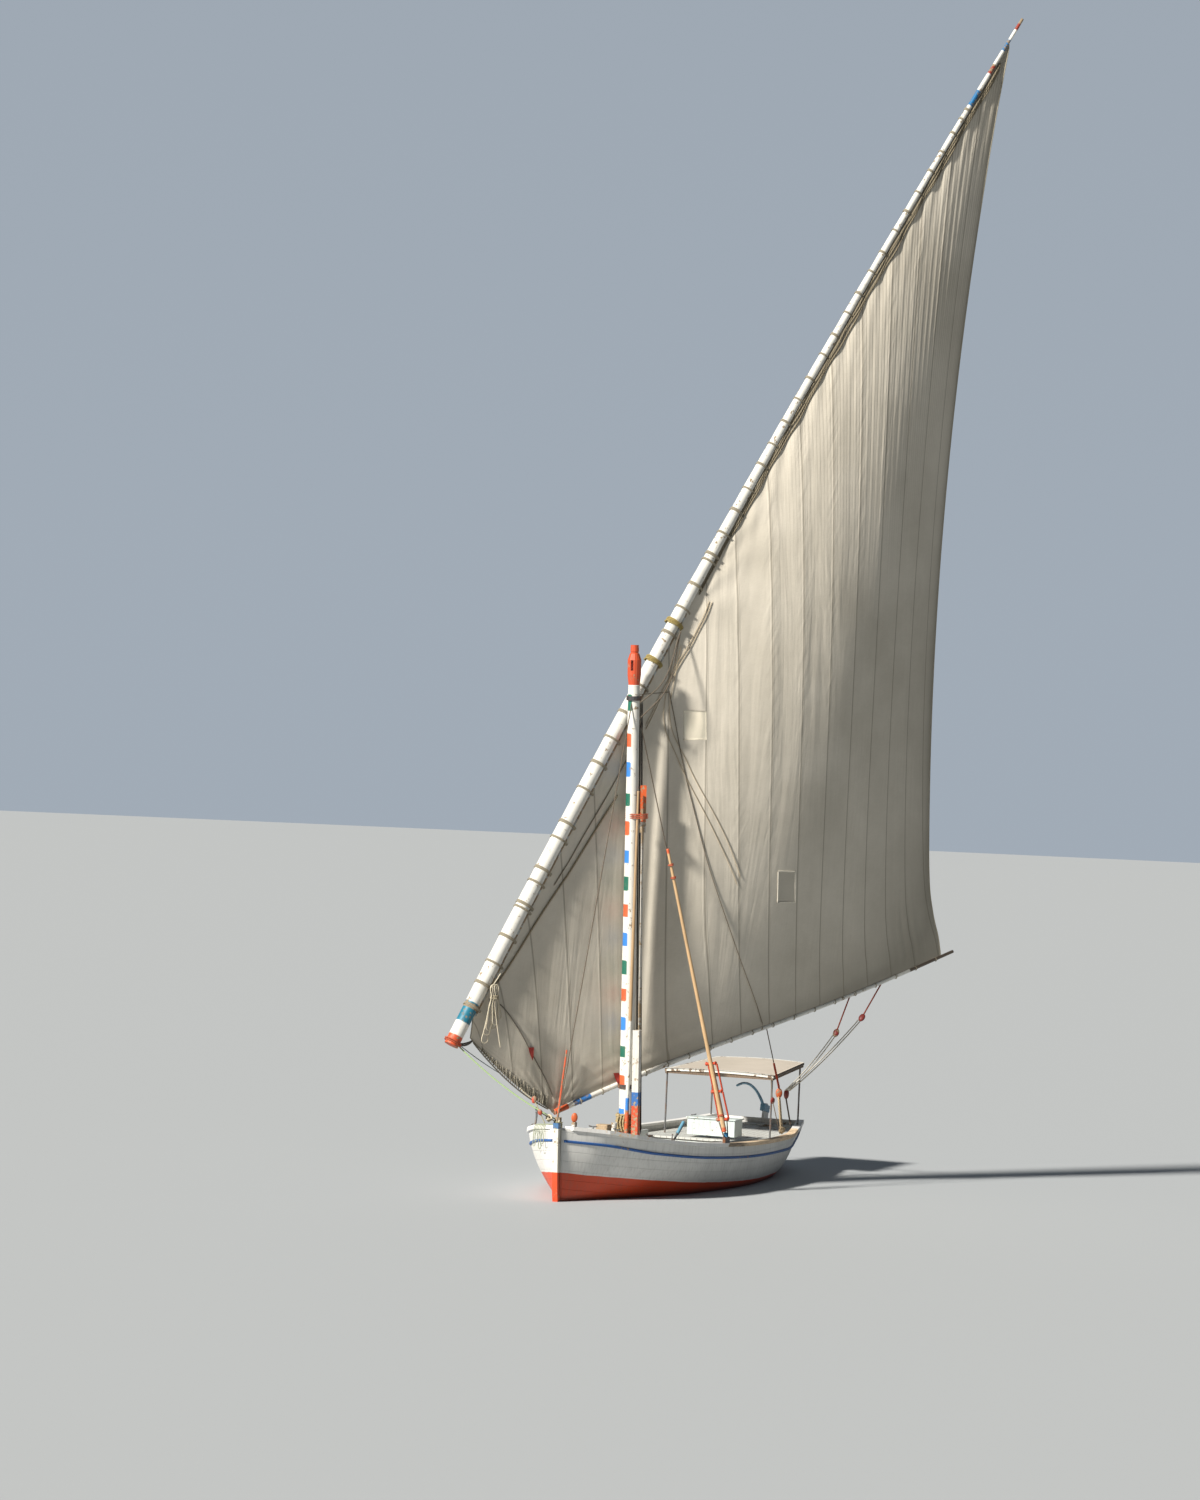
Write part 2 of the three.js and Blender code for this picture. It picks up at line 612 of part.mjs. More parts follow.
add("shroud", cut(bar([[SHROUD_FOOT[0], SHROUD_FOOT[1], eyeTop - 20], mastPoint(SHROUD_TOP_W)], STAY_R, 8),
  mastSeat, eyeSeat), "rope");

// Punt pole: it hangs along the port shroud, lashed to it at both ends
const PUNT = { foot: [1136, 1462, 990], top: [1905, 560, 5520], r: [38, 24] };
const shroudSeat = bar([[SHROUD_FOOT[0], SHROUD_FOOT[1], eyeTop - 20], mastPoint(SHROUD_TOP_W)],
  STAY_R + SEAT_GAP, 8);
add("punt_pole", cut(bar([PUNT.foot, PUNT.top], PUNT.r, 10), shroudSeat), "pole");

// Canopy over the stern: a light roof on a frame and four thin posts
const CANOPY = { fore: [-2500, 960, 1655], aft: [-4560, 795, 1785], thick: 42, post: 15, bar: 40 };
const CANOPY_FEET = { fore: -2540, aft: -4400 };
function canopyEdgeAt(x) {
  // The place of the roof's edge, port side, over a given station.
  const t = (x - CANOPY.fore[0]) / (CANOPY.aft[0] - CANOPY.fore[0]);
  return [lerp(CANOPY.fore[1], CANOPY.aft[1], t), lerp(CANOPY.fore[2], CANOPY.aft[2], t)];
}
function canopyRing([x, y, z], grow, low, high) {
  const rise = 28;
  const across = [-1, -0.5, 0, 0.5, 1];
  const under = across.map((u) => [x, u * (y + grow), z + low + rise * (1 - u * u)]);
  const over = across.map((u) => [x, u * (y + grow), z + high + rise * (1 - u * u)]).reverse();
  return [...under, ...over];
}
const roof = ringLoft([CANOPY.fore, CANOPY.aft].map((end) => canopyRing(end, 30, 0, CANOPY.thick)), true);
add("canopy_roof", roof, "canvas");
const roofSeat = ringLoft([CANOPY.fore, CANOPY.aft].map((end) => canopyRing(end, 30, -SEAT_GAP, 400)), true);
function canopySideBar([x, y, z], side, half = 18, low = -42, high = 30) {
  const [a, b] = [side * y - half, side * y + half];
  return [[x, a, z + low], [x, b, z + low], [x, b, z + high], [x, a, z + high]];
}
const frameBars = [];
for (const end of [CANOPY.fore, CANOPY.aft]) {
  const x = end[0] + (end === CANOPY.fore ? -CANOPY.bar : CANOPY.bar);
  frameBars.push(box([x - 18, -end[1], end[2] - 36], [x + 18, end[1], end[2] + 60]));
}
for (const [, side] of SIDES) {
  frameBars.push(ringLoft([canopySideBar(CANOPY.fore, side), canopySideBar(CANOPY.aft, side)]));
}
add("canopy_frame", cut(join(...frameBars), roofSeat), "bare");
const frameSeats = SIDES.map(([, side]) => ringLoft([CANOPY.fore, CANOPY.aft].map((end) => (
  canopySideBar(end, side, 60, -42 - SEAT_GAP, 400)))));
for (const [place, x] of Object.entries(CANOPY_FEET)) {
  const [y, z] = canopyEdgeAt(x);
  for (const [i, [name, side]] of SIDES.entries()) {
    const post = bar([[x, side * (y - 2), 300], [x, side * (y - 2), z + 20]], CANOPY.post, 8);
    add(`canopy_post_${place}_${name}`, cut(post, sternDeckSeat, capSeats[i], frameSeats[i]), "steel");
  }
}

// Rudder: hung on two gudgeons on the raked transom, steered by an arched tiller
const RUDDER_RAKE = THREE.MathUtils.degToRad(11.9);
const RUDDER_AXIS = [STEM_X - LENGTH + 190 - TRANSOM_THICK - 62, 0, 0];
const rudderGroup = new THREE.Group();
rudderGroup.position.set(...RUDDER_AXIS);
rudderGroup.rotation.y = -RUDDER_RAKE;
boat.add(rudderGroup);
boat.updateMatrixWorld(true);
const GUDGEONS = [120, 640];
GUDGEONS.forEach((z, i) => {
  const nose = new THREE.CylinderGeometry(34, 34, 56, 14);
  nose.rotateX(Math.PI / 2);
  nose.translate(0, 0, z);
  const neck = box([0, -30, z - 28], [58, 30, z + 28]);
  const bore = new THREE.CylinderGeometry(17, 17, 80, 14);
  bore.rotateX(Math.PI / 2);
  bore.translate(0, 0, z);
  const plate = box([46, -60, z - 28], [120, 60, z + 28]);
  const whole = inBoat(cut(join(nose, neck, plate), bore), rudderGroup);
  add(i ? "gudgeon_upper" : "gudgeon_lower", cut(whole, transomSeat), "steel");
});
function rudderBlade() {
  const shape = new THREE.Shape();
  shape.moveTo(-45, -640);
  shape.lineTo(-45, 1010);
  shape.quadraticCurveTo(-60, 1090, -150, 1090);
  shape.quadraticCurveTo(-250, 1080, -260, 980);
  shape.lineTo(-300, 560);
  shape.lineTo(-520, 150);
  shape.quadraticCurveTo(-800, -120, -820, -420);
  shape.lineTo(-790, -600);
  shape.lineTo(-700, -640);
  const plate = new THREE.ExtrudeGeometry(shape, { depth: 44, bevelEnabled: false, curveSegments: 5 });
  plate.rotateX(Math.PI / 2);
  plate.translate(0, 22, 0);
  const pieces = [plate];
  for (const z of GUDGEONS) {
    const pintle = new THREE.CylinderGeometry(15, 15, 110, 14);
    pintle.rotateX(Math.PI / 2);
    pintle.translate(0, 0, z + 12);
    pieces.push(pintle, box([-90, -16, z + 29], [16, 16, z + 66]));
  }
  return join(...pieces);
}
add("rudder", rudderBlade(), "red", rudderGroup);

// Tiller: a bent bar from the rudder head, arched forward over the stern deck
function tillerBar() {
  const path = [[-210, 0, 1000], [-60, 0, 1010], [150, 0, 1120], [450, 0, 1225], [800, 0, 1270], [1150, 0, 1240], [1450, 0, 1150]];
  const curve = new THREE.CatmullRomCurve3(path.map((q) => new THREE.Vector3(...q)));
  const points = curve.getPoints(14).map((q) => q.toArray());
  const tiller = bar(points, points.map((_, i) => lerp(30, 20, i / 14)), 8);
  return tiller;
}
const bladeSeat = box([-400, -22 - SEAT_GAP, 700], [-44.5, 22 + SEAT_GAP, 1400]);
const cheeks = box([-240, -44, 940], [20, 44, 1060]);
add("tiller", cut(join(tillerBar(), cheeks), bladeSeat), "steel", rudderGroup);

// Yard: two scarfed spars in line, gently bowed, with a batten lashed along the lower edge
const chord = [YARD_PEAK[0] - YARD_HEEL[0], YARD_PEAK[1] - YARD_HEEL[1]];
const chordLength = Math.hypot(...chord);
const chordUnit = chord.map((v) => v / chordLength);
const yardUp = [-chordUnit[1], chordUnit[0]];
const YARD_GIRTH = [[0, 118], [0.06, 122], [0.35, 108], [0.55, 80], [0.72, 60], [0.90, 44], [1, 26]];
const yardRadius = (t) => tableValue(YARD_GIRTH, t, 1);
function yardPoint(t, off = 0) {
  const bow = 4 * YARD_BOW * t * (1 - t) + off;
  return [
    YARD_HEEL[0] + chord[0] * t + yardUp[0] * bow,
    YARD_OFFSET,
    YARD_HEEL[1] + chord[1] * t + yardUp[1] * bow,
  ];
}
function yardSpar(t0, t1, steps, grow = 0) {
  const ts = Array.from({ length: steps + 1 }, (_, i) => lerp(t0, t1, i / steps));
  return bar(ts.map((t) => yardPoint(t)), ts.map((t) => yardRadius(t) + grow), 12);
}
const YARD_JOINT = 0.45;
const lowerSpar = [0, YARD_JOINT, 12];
const upperSpar = [YARD_JOINT + 0.00003, 1, 14];
add("yard_lower", yardSpar(...lowerSpar), "white", rigGroup);
add("yard_upper", yardSpar(...upperSpar), "white", rigGroup);
const yardSeat = join(yardSpar(...lowerSpar, SEAT_GAP), yardSpar(0.44, 0.46, 1, SEAT_GAP), yardSpar(...upperSpar, SEAT_GAP));
const BATTEN = { from: 0.03, to: 0.62, r: 27 };
function battenSpar(grow) {
  const ts = Array.from({ length: 15 }, (_, i) => lerp(BATTEN.from, BATTEN.to, i / 14));
  return bar(ts.map((t) => yardPoint(t, -(yardRadius(t) + BATTEN.r - 7))), BATTEN.r + grow, 8);
}
add("yard_batten", cut(battenSpar(0), yardSeat), "white", rigGroup);

// Boom: a light spar along the foot of the sail, thinner towards its end
const BOOM_STEPS = 10;
function boomPoint(t) {
  const sag = 0.045 * Math.sin(2 * Math.PI * t);
  return [lerp(BOOM_TACK[0], BOOM_END[0], t), BOOM_OFFSET, lerp(BOOM_TACK[1], BOOM_END[1], t) + 1000 * sag];
}
function boomSpar(grow) {
  const ts = Array.from({ length: BOOM_STEPS + 1 }, (_, i) => i / BOOM_STEPS);
  return bar(ts.map(boomPoint), ts.map((t) => lerp(48, 27, t) + grow), 10);
}
add("boom", boomSpar(0), "white", rigGroup);
const TACK_STICK = [[-1215, BOOM_OFFSET - 62, 1180], [-1060, BOOM_OFFSET - 62, 2290]];
add("tack_stick", cut(bar(TACK_STICK, [20, 14], 8), boomSpar(SEAT_GAP)), "red", rigGroup);

// Sail: one sheet from the yard to the boom, its belly to leeward aft of the mast
const SAIL = { throat: -2830, clew: 6500, head: 7560, tack: -1300, thick: 12, belly: 620, hollow: 560 };
const mastShare = 0.34;
function yardAtR(r) {
  // The point of the yard's centre line above a given reach.
  let t = (r - YARD_HEEL[0]) / chord[0];
  for (let i = 0; i < 6; i += 1) t += (r - yardPoint(t)[0]) / chord[0];
  return { t, z: yardPoint(t)[2] };
}
function sailFoot(s) {
  const r = lerp(SAIL.throat, SAIL.clew, s);
  if (r > SAIL.tack) {
    const t = (r - BOOM_TACK[0]) / (BOOM_END[0] - BOOM_TACK[0]);
    return [r, BOOM_OFFSET, boomPoint(Math.max(t, 0))[2]];
  }
  const u = (SAIL.tack - r) / (SAIL.tack - SAIL.throat);
  const slack = 90 * Math.sin(Math.PI * u);
  return [r, BOOM_OFFSET + 20 * u, lerp(1330, 2560, u) - slack];
}
function sailHead(s) {
  const r = lerp(SAIL.throat + 90, SAIL.head, s);
  const { t, z } = yardAtR(r);
  return [r, YARD_OFFSET, z - 40 - 20 * t];
}
function sailPoint(s, t) {
  const low = sailFoot(s);
  const high = sailHead(s);
  const c = THREE.MathUtils.clamp((s - mastShare) / (1 - mastShare), 0, 1);
  const belly = SAIL.belly * Math.sin(Math.PI * c ** 0.85) * Math.sin(Math.PI * t) ** 0.8;
  const hollow = SAIL.hollow * s ** 4 * 4 * t * (1 - t);
  return [lerp(low[0], high[0], t) - hollow, lerp(low[1], high[1], t) - belly, lerp(low[2], high[2], t)];
}
function sailSheet() {
  const [columns, rows] = [26, 16];
  const grid = [];
  for (const shift of [-SAIL.thick / 2, SAIL.thick / 2]) {
    for (let i = 0; i <= columns; i += 1) {
      for (let j = 0; j <= rows; j += 1) {
        const [x, y, z] = sailPoint(i / columns, j / rows);
        grid.push([x, y + shift, z]);
      }
    }
  }
  const at = (layer, i, j) => layer * (columns + 1) * (rows + 1) + i * (rows + 1) + j;
  const faces = [];
  for (let i = 0; i < columns; i += 1) {
    for (let j = 0; j < rows; j += 1) {
      for (const layer of [0, 1]) {
        const [a, b, c, d] = [at(layer, i, j), at(layer, i + 1, j), at(layer, i + 1, j + 1), at(layer, i, j + 1)];
        faces.push(layer ? [a, c, b] : [a, b, c], layer ? [a, d, c] : [a, c, d]);
      }
    }
  }
  const rim = [];
  for (let i = 0; i < columns; i += 1) rim.push([i, 0]);
  for (let j = 0; j < rows; j += 1) rim.push([columns, j]);
  for (let i = columns; i > 0; i -= 1) rim.push([i, rows]);
  for (let j = rows; j > 0; j -= 1) rim.push([0, j]);
  rim.forEach(([i, j], k) => {
    const [m, n] = rim[(k + 1) % rim.length];
    faces.push([at(0, i, j), at(1, m, n), at(0, m, n)], [at(0, i, j), at(1, i, j), at(1, m, n)]);
  });
  return outward(closedGeometry(grid, faces));
}
const sail = largestBody(cut(sailSheet(), yardSeat, battenSpar(SEAT_GAP), boomSpar(SEAT_GAP)));
add("sail", sail, "canvas", rigGroup);

// Parrels: collars that hold the yard and the boom to the mast and let them turn round it.
// The flats of the collar's bore lie against the corners of the mast's facets.
const COLLAR_PLAY = 0.5;
function parrel(w, reach, spar, high) {
  const inner = (mastRadius(w) + COLLAR_PLAY) / Math.cos(Math.PI / MAST_SIDES);
  const outer = inner + 26;
  const collar = ringAround(outer, inner, high, MAST_SIDES);
  collar.rotateZ(-rigGroup.rotation.z);
  collar.translate(0, 0, w);
  const arm = box([-30 + reach[0], inner + 4, w], [30 + reach[0], reach[1], w + high]);
  return largestBody(cut(join(collar, arm), spar));
}
add("yard_parrel", parrel(7900, [70, YARD_OFFSET], yardSeat, 70), "rope", rigGroup);
add("boom_parrel", parrel(1640, [0, BOOM_OFFSET], boomSpar(SEAT_GAP), 60), "rope", rigGroup);

export default boat;
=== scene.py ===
"""River felucca: the looks of its hull, spars, sail, ropes and gear.

The boat's frame is metres, +X to the bow, +Y to port and +Z up, with z = 0 at the waterline.
"""

import bpy
import numpy as np
from mathutils import Matrix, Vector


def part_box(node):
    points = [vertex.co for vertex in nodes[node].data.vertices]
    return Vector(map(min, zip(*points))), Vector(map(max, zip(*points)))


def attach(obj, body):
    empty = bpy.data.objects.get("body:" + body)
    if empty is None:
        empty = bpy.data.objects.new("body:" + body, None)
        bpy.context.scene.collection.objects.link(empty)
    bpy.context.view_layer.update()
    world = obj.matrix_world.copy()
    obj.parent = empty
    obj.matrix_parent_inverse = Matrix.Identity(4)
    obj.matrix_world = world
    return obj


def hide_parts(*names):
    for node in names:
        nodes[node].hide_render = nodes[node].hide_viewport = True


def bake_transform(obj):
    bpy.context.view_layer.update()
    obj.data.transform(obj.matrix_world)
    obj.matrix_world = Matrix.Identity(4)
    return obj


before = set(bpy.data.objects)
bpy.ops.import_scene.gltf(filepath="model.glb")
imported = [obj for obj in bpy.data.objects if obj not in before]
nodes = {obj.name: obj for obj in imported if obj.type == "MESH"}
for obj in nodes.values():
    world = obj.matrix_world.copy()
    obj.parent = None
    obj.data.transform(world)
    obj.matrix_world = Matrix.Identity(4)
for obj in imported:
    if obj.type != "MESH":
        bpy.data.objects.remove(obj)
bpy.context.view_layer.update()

# Camera: a long lens 68 m off the port bow and 5.3 m above the waterline. The boat heels a
# little to port, so in its frame the camera is turned as much the other way about the long axis.
HEEL, VIEW_OFF_BOW, VIEW_UP = np.radians(2.7), np.radians(21.7), np.radians(1.48)
VIEW_DISTANCE, VIEW_ASIDE, VIEW_HEIGHT, LENS = 68.2, 0.67, 5.26, 105
STEM_AT_WATER = 4.6
back = np.array([np.cos(VIEW_OFF_BOW), np.sin(VIEW_OFF_BOW), 0.0])
right = np.array([-np.sin(VIEW_OFF_BOW), np.cos(VIEW_OFF_BOW), 0.0])
eye = back * VIEW_DISTANCE + right * VIEW_ASIDE + [STEM_AT_WATER, 0.0, VIEW_HEIGHT]
away = back * np.cos(VIEW_UP) - [0.0, 0.0, np.sin(VIEW_UP)]
axes = np.stack([right, np.cross(away, right), away, eye], axis=1)
c, s = np.cos(HEEL), np.sin(HEEL)
camera = bpy.data.objects.new("camera", bpy.data.cameras.new("camera"))
camera.data.lens, camera.data.sensor_width, camera.data.clip_end = LENS, 36, 1000
placed = np.array([[1, 0, 0], [0, c, -s], [0, s, c]]) @ axes
camera.matrix_world = Matrix([*placed.tolist(), [0, 0, 0, 1]])
bpy.context.scene.collection.objects.link(camera)
bpy.context.scene.camera = camera

# Studio light: a key lamp from ahead, a dim dome that fills the shadows, and a pale backdrop with
# its own glow behind the boat.
KEY_AZIMUTH, KEY_HEIGHT = np.radians(-26), np.radians(33)
KEY_POWER, KEY_WIDTH, KEY_COLOR = 7.0, np.radians(5), (1.0, 0.95, 0.87)
DOME_COLOR, GLOW_LOW, GLOW_HIGH = (0.76, 0.87, 1.0, 1), 0.15, 0.10
BACKDROP_GLOW, BACKDROP = 0.32, (-0.93, -0.37, 0.0)


class Nodes:
    """A node tree and short ways to add its nodes. Every input is a number, a colour or another
    node's output, and every way gives an output."""

    def __init__(self, tree):
        self.tree = tree

    def add(self, kind, inputs=None, **settings):
        """Any shader node. It gives all the node's outputs."""
        made = self.tree.nodes.new("ShaderNode" + kind)
        for key, value in settings.items():
            setattr(made, key, value)
        for key, value in (inputs or {}).items():
            socket = made.inputs[key]
            if isinstance(value, bpy.types.NodeSocket):
                self.tree.links.new(value, socket)
            elif socket.type == "RGBA" and len(value) == 3:
                socket.default_value = (*value, 1.0)
            else:
                socket.default_value = value
        return made.outputs

    def math(self, operation, *values, **settings):
        """Maths on one to three values, such as a * b + c for MULTIPLY_ADD."""
        return self.add("Math", dict(enumerate(values)), operation=operation, **settings)[0]

    def span(self, value, low, high, to_low=0.0, to_high=1.0):
        """The value's place between low and high, clamped and carried to another range."""
        return self.add("MapRange", {"Value": value, "From Min": low, "From Max": high,
                                     "To Min": to_low, "To Max": to_high})[0]

    def off_centre(self, value):
        """|fract(value) - 0.5|: 0 in the middle of every whole step and 0.5 at its edges."""
        return self.math("ABSOLUTE", self.math("SUBTRACT", self.math("FRACT", value), 0.5))

    def mix(self, factor, first, second):
        """A colour between two."""
        return self.add("Mix", {0: factor, 6: first, 7: second}, data_type="RGBA")[2]

    def tint(self, color, value):
        """A colour made darker or lighter."""
        return self.add("HueSaturation", {"Color": color, "Value": value})[0]

    def noise(self, place, scale, detail=2.0, rough=0.5, warp=0.0):
        """Noise from 0 to 1."""
        return self.add("TexNoise", {"Vector": place, "Scale": scale, "Detail": detail,
                                     "Roughness": rough, "Distortion": warp})[0]

    def drawn(self, place, scale):
        """A place multiplied axis by axis, which draws noise out along the smaller factors."""
        return self.add("Mapping", {"Vector": place, "Scale": scale})[0]

    def place(self):
        """The point in the object's own axes."""
        return self.add("TexCoord")["Object"]

    def uv(self):
        """The point in the piece's map, in metres."""
        return self.add("UVMap")[0]

    def split(self, vector):
        """The x, y and z of a vector."""
        return self.add("SeparateXYZ", {0: vector})


key = bpy.data.objects.new("key_light", bpy.data.lights.new("key_light", "SUN"))
key.data.energy, key.data.angle, key.data.color = KEY_POWER, KEY_WIDTH, KEY_COLOR
key.rotation_mode = "XYZ"
key.rotation_euler = (0, np.pi / 2 - KEY_HEIGHT, KEY_AZIMUTH)
bpy.context.scene.collection.objects.link(key)
dome = bpy.data.worlds.new("studio_dome")
dome.use_nodes = True
sky = Nodes(dome.node_tree)
toward = sky.add("TexCoord")["Generated"]
glow = sky.span(sky.split(toward)[2], 0.05, 0.45, GLOW_LOW, GLOW_HIGH)
behind = sky.add("VectorMath", {0: toward, 1: BACKDROP}, operation="DOT_PRODUCT")["Value"]
lit = sky.span(behind, 0.65, 0.95, 0.0, BACKDROP_GLOW)
background = dome.node_tree.nodes["Background"]
background.inputs["Color"].default_value = DOME_COLOR
dome.node_tree.links.new(sky.math("ADD", glow, lit), background.inputs["Strength"])
bpy.context.scene.view_settings.view_transform = "Standard"
bpy.context.scene.world = dome

# Hull planking: soft wood planks laid edge to edge over sawn frames, caulked, primed and painted
# white above the water and orange-red below it. Inside, the planks carry a thin old white coat.
HULL_LENGTH, STEM_X, PLANK_WALL, KEEL_HALF = 9.4, 4.7, 0.045, 0.036
HULL_LINES = np.array([  # place, half breadth, sheer, keel line, fullness, roundness
    [0.000, 0.062, 1.150, -0.430, 1.05, 0.80],
    [0.065, 0.640, 1.075, -0.455, 1.15, 0.80],
    [0.160, 1.100, 0.930, -0.470, 1.60, 0.74],
    [0.320, 1.440, 0.800, -0.480, 2.50, 0.66],
    [0.530, 1.510, 0.715, -0.480, 3.00, 0.60],
    [0.750, 1.360, 0.690, -0.430, 2.60, 0.64],
    [0.900, 1.040, 0.740, -0.300, 2.00, 0.72],
    [1.000, 0.790, 0.800, -0.170, 1.70, 0.78],
])
STEM_PROFILE = np.array([[-0.48, 0.62], [-0.30, 0.30], [0, 0.11], [0.50, 0.045], [1.25, 0]])
STERN_PROFILE = np.array([[-0.48, 0.42], [0, 0.19], [0.90, 0]])
BOOT_TOP_LOW, BOOT_TOP_RISE, BOOT_TOP_MIDDLE = 0.07, 0.0088, -1.8
WHITE_PAINT, BOOT_TOP_PAINT = (0.72, 0.715, 0.68), (0.64, 0.065, 0.014)
# The second colour paints the shadow along the waterline.
BARE_PLANK, WATERLINE_SHADOW = (0.30, 0.22, 0.14), (0.11, 0.032, 0.02)
STRAKE, SHEER_RISE, SHEER_MIDDLE = 0.145, 0.0115, -0.9


def cubic(t, span, start, end, slope, next_slope):
    """Hermite's cubic between two values with their slopes, over a span."""
    return ((2 * t**3 - 3 * t**2 + 1) * start + (t**3 - 2 * t**2 + t) * span * slope
            + (3 * t**2 - 2 * t**3) * end + (t**3 - t**2) * span * next_slope)


def faired(table, at, column):
    """A smooth line through the table's rows: a cubic with the harmonic mean of the two slopes."""
    place, value = table[:, 0], table[:, column]
    slope = np.diff(value) / np.diff(place)
    both = slope[:-1] * slope[1:]
    mean = np.where(both <= 0, 0, 2 * both / np.where(both <= 0, 1, slope[:-1] + slope[1:]))
    tangent = np.concatenate([slope[:1], mean, slope[-1:]])
    k = np.clip(np.searchsorted(place, at, side="left") - 1, 0, len(place) - 2)
    span = place[k + 1] - place[k]
    t = np.clip((at - place[k]) / span, 0, 1)
    return cubic(t, span, value[k], value[k + 1], tangent[k], tangent[k + 1])


def hull_skin(s, h, side, inset=0.0):
    """The planked surface. s runs from stem to stern and h from keel to sheer. The section's
    breadth is keel half + rest * (1 - (1 - h)^fullness)^roundness, moved in by inset."""
    half, sheer, keel, full, rounded = (faired(HULL_LINES, s, i) for i in range(1, 6))
    z = keel + h * (sheer - keel)
    y = KEEL_HALF + (half - KEEL_HALF) * (1 - (1 - h) ** full) ** rounded
    bow = STEM_X - faired(STEM_PROFILE, z, 1)
    stern = STEM_X - HULL_LENGTH + faired(STERN_PROFILE, z, 1)
    x = bow + s * (stern - bow)
    return np.stack([x, side * np.maximum(y - inset, 0.002), z + inset * (1 - h)], axis=-1)


def grid_faces(rows, columns, around=False):
    """The corners of a grid's quads. around joins the last column to the first."""
    i, j = np.meshgrid(np.arange(rows - 1), np.arange(columns if around else columns - 1),
                       indexing="ij")
    first, after = i * columns + j, i * columns + (j + 1) % columns
    return np.stack([first, first + columns, after + columns, after], axis=-1).reshape(-1, 4)


def mesh_piece(name, points, faces, material=None, uv=None, smooth=True):
    """A piece from an array of points, the corners of its faces, and a place in its map in
    metres for each corner of each face."""
    mesh = bpy.data.meshes.new(name)
    mesh.from_pydata(points.reshape(-1, 3).tolist(), [], faces if isinstance(faces, list)
                     else faces.tolist())
    if uv is not None:
        layer = mesh.uv_layers.new(name="UVMap")
        layer.data.foreach_set("uv", uv.astype(np.float32).ravel())
    mesh.polygons.foreach_set("use_smooth", np.full(len(mesh.polygons), smooth))
    piece = bpy.data.objects.new(name, mesh)
    bpy.context.scene.collection.objects.link(piece)
    if material:
        mesh.materials.append(material)
    return piece


def settle(piece, body, replaced=None):
    """Puts a piece on a body and hides the CAD node that it stands for."""
    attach(piece, body)
    if replaced:
        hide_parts(replaced)
    return piece


def hull_shell():
    """The planking as one closed shell: the outer skin, the inner skin and the sheer edge make
    one loop at each station, and the loops follow each other from stem to stern."""
    s, h = np.meshgrid(np.linspace(0, 1, 150), np.linspace(0, 1, 41)**1.3, indexing="ij")
    loops = np.concatenate([hull_skin(s, h, -1)[:, ::-1], hull_skin(s, h, 1),
                            hull_skin(s, h, 1, PLANK_WALL)[:, ::-1],
                            hull_skin(s, h, -1, PLANK_WALL)], axis=1)
    rows, count = loops.shape[:2]
    faces = grid_faces(rows, count, around=True)[:, ::-1]
    rung = np.arange(count // 2 - 1)
    end = np.stack([rung, rung + 1, count - 2 - rung, count - 1 - rung], axis=-1)
    return loops, np.concatenate([faces, end, end[:, ::-1] + (rows - 1) * count])


class Group(Nodes):
    """A new node group. Inputs are given as names and defaults, and outputs as names."""

    def __init__(self, name, inputs, outputs):
        super().__init__(bpy.data.node_groups.new(name, "ShaderNodeTree"))
        for key, value in inputs.items():
            kind = "NodeSocketColor" if isinstance(value, tuple) else "NodeSocketFloat"
            self.tree.interface.new_socket(key, in_out="INPUT",
                                           socket_type=kind).default_value = value
        for key in outputs:
            kind = "NodeSocketColor" if key == "Color" else "NodeSocketFloat"
            self.tree.interface.new_socket(key, in_out="OUTPUT", socket_type=kind)
        self.given = self.tree.nodes.new("NodeGroupInput").outputs
        self.end = self.tree.nodes.new("NodeGroupOutput")

    def give(self, *values):
        """Links the outputs in their order and gives the finished group."""
        for value, socket in zip(values, self.end.inputs):
            self.tree.links.new(value, socket)
        return self.tree


class Surface(Nodes):
    """A new material with its Principled shader, whose roughness is set."""

    def __init__(self, name, roughness=0.6):
        self.material = bpy.data.materials.new(name)
        self.material.use_nodes = True
        super().__init__(self.material.node_tree)
        self.shader = self.tree.nodes["Principled BSDF"].inputs
        self.shader["Roughness"].default_value = roughness

    def group(self, group, **values):
        """The outputs of a node group."""
        return self.add("Group", values, node_tree=group)

    def finish(self, color, roughness=None, height=None, depth=0.002):
        """Puts a colour, a roughness and a bump of the given depth in metres on the shader."""
        self.tree.links.new(color, self.shader["Base Color"])
        if roughness:
            self.tree.links.new(roughness, self.shader["Roughness"])
        if height:
            bump = self.add("Bump", {"Height": height, "Distance": depth})[0]
            self.tree.links.new(bump, self.shader["Normal"])
        return self.material


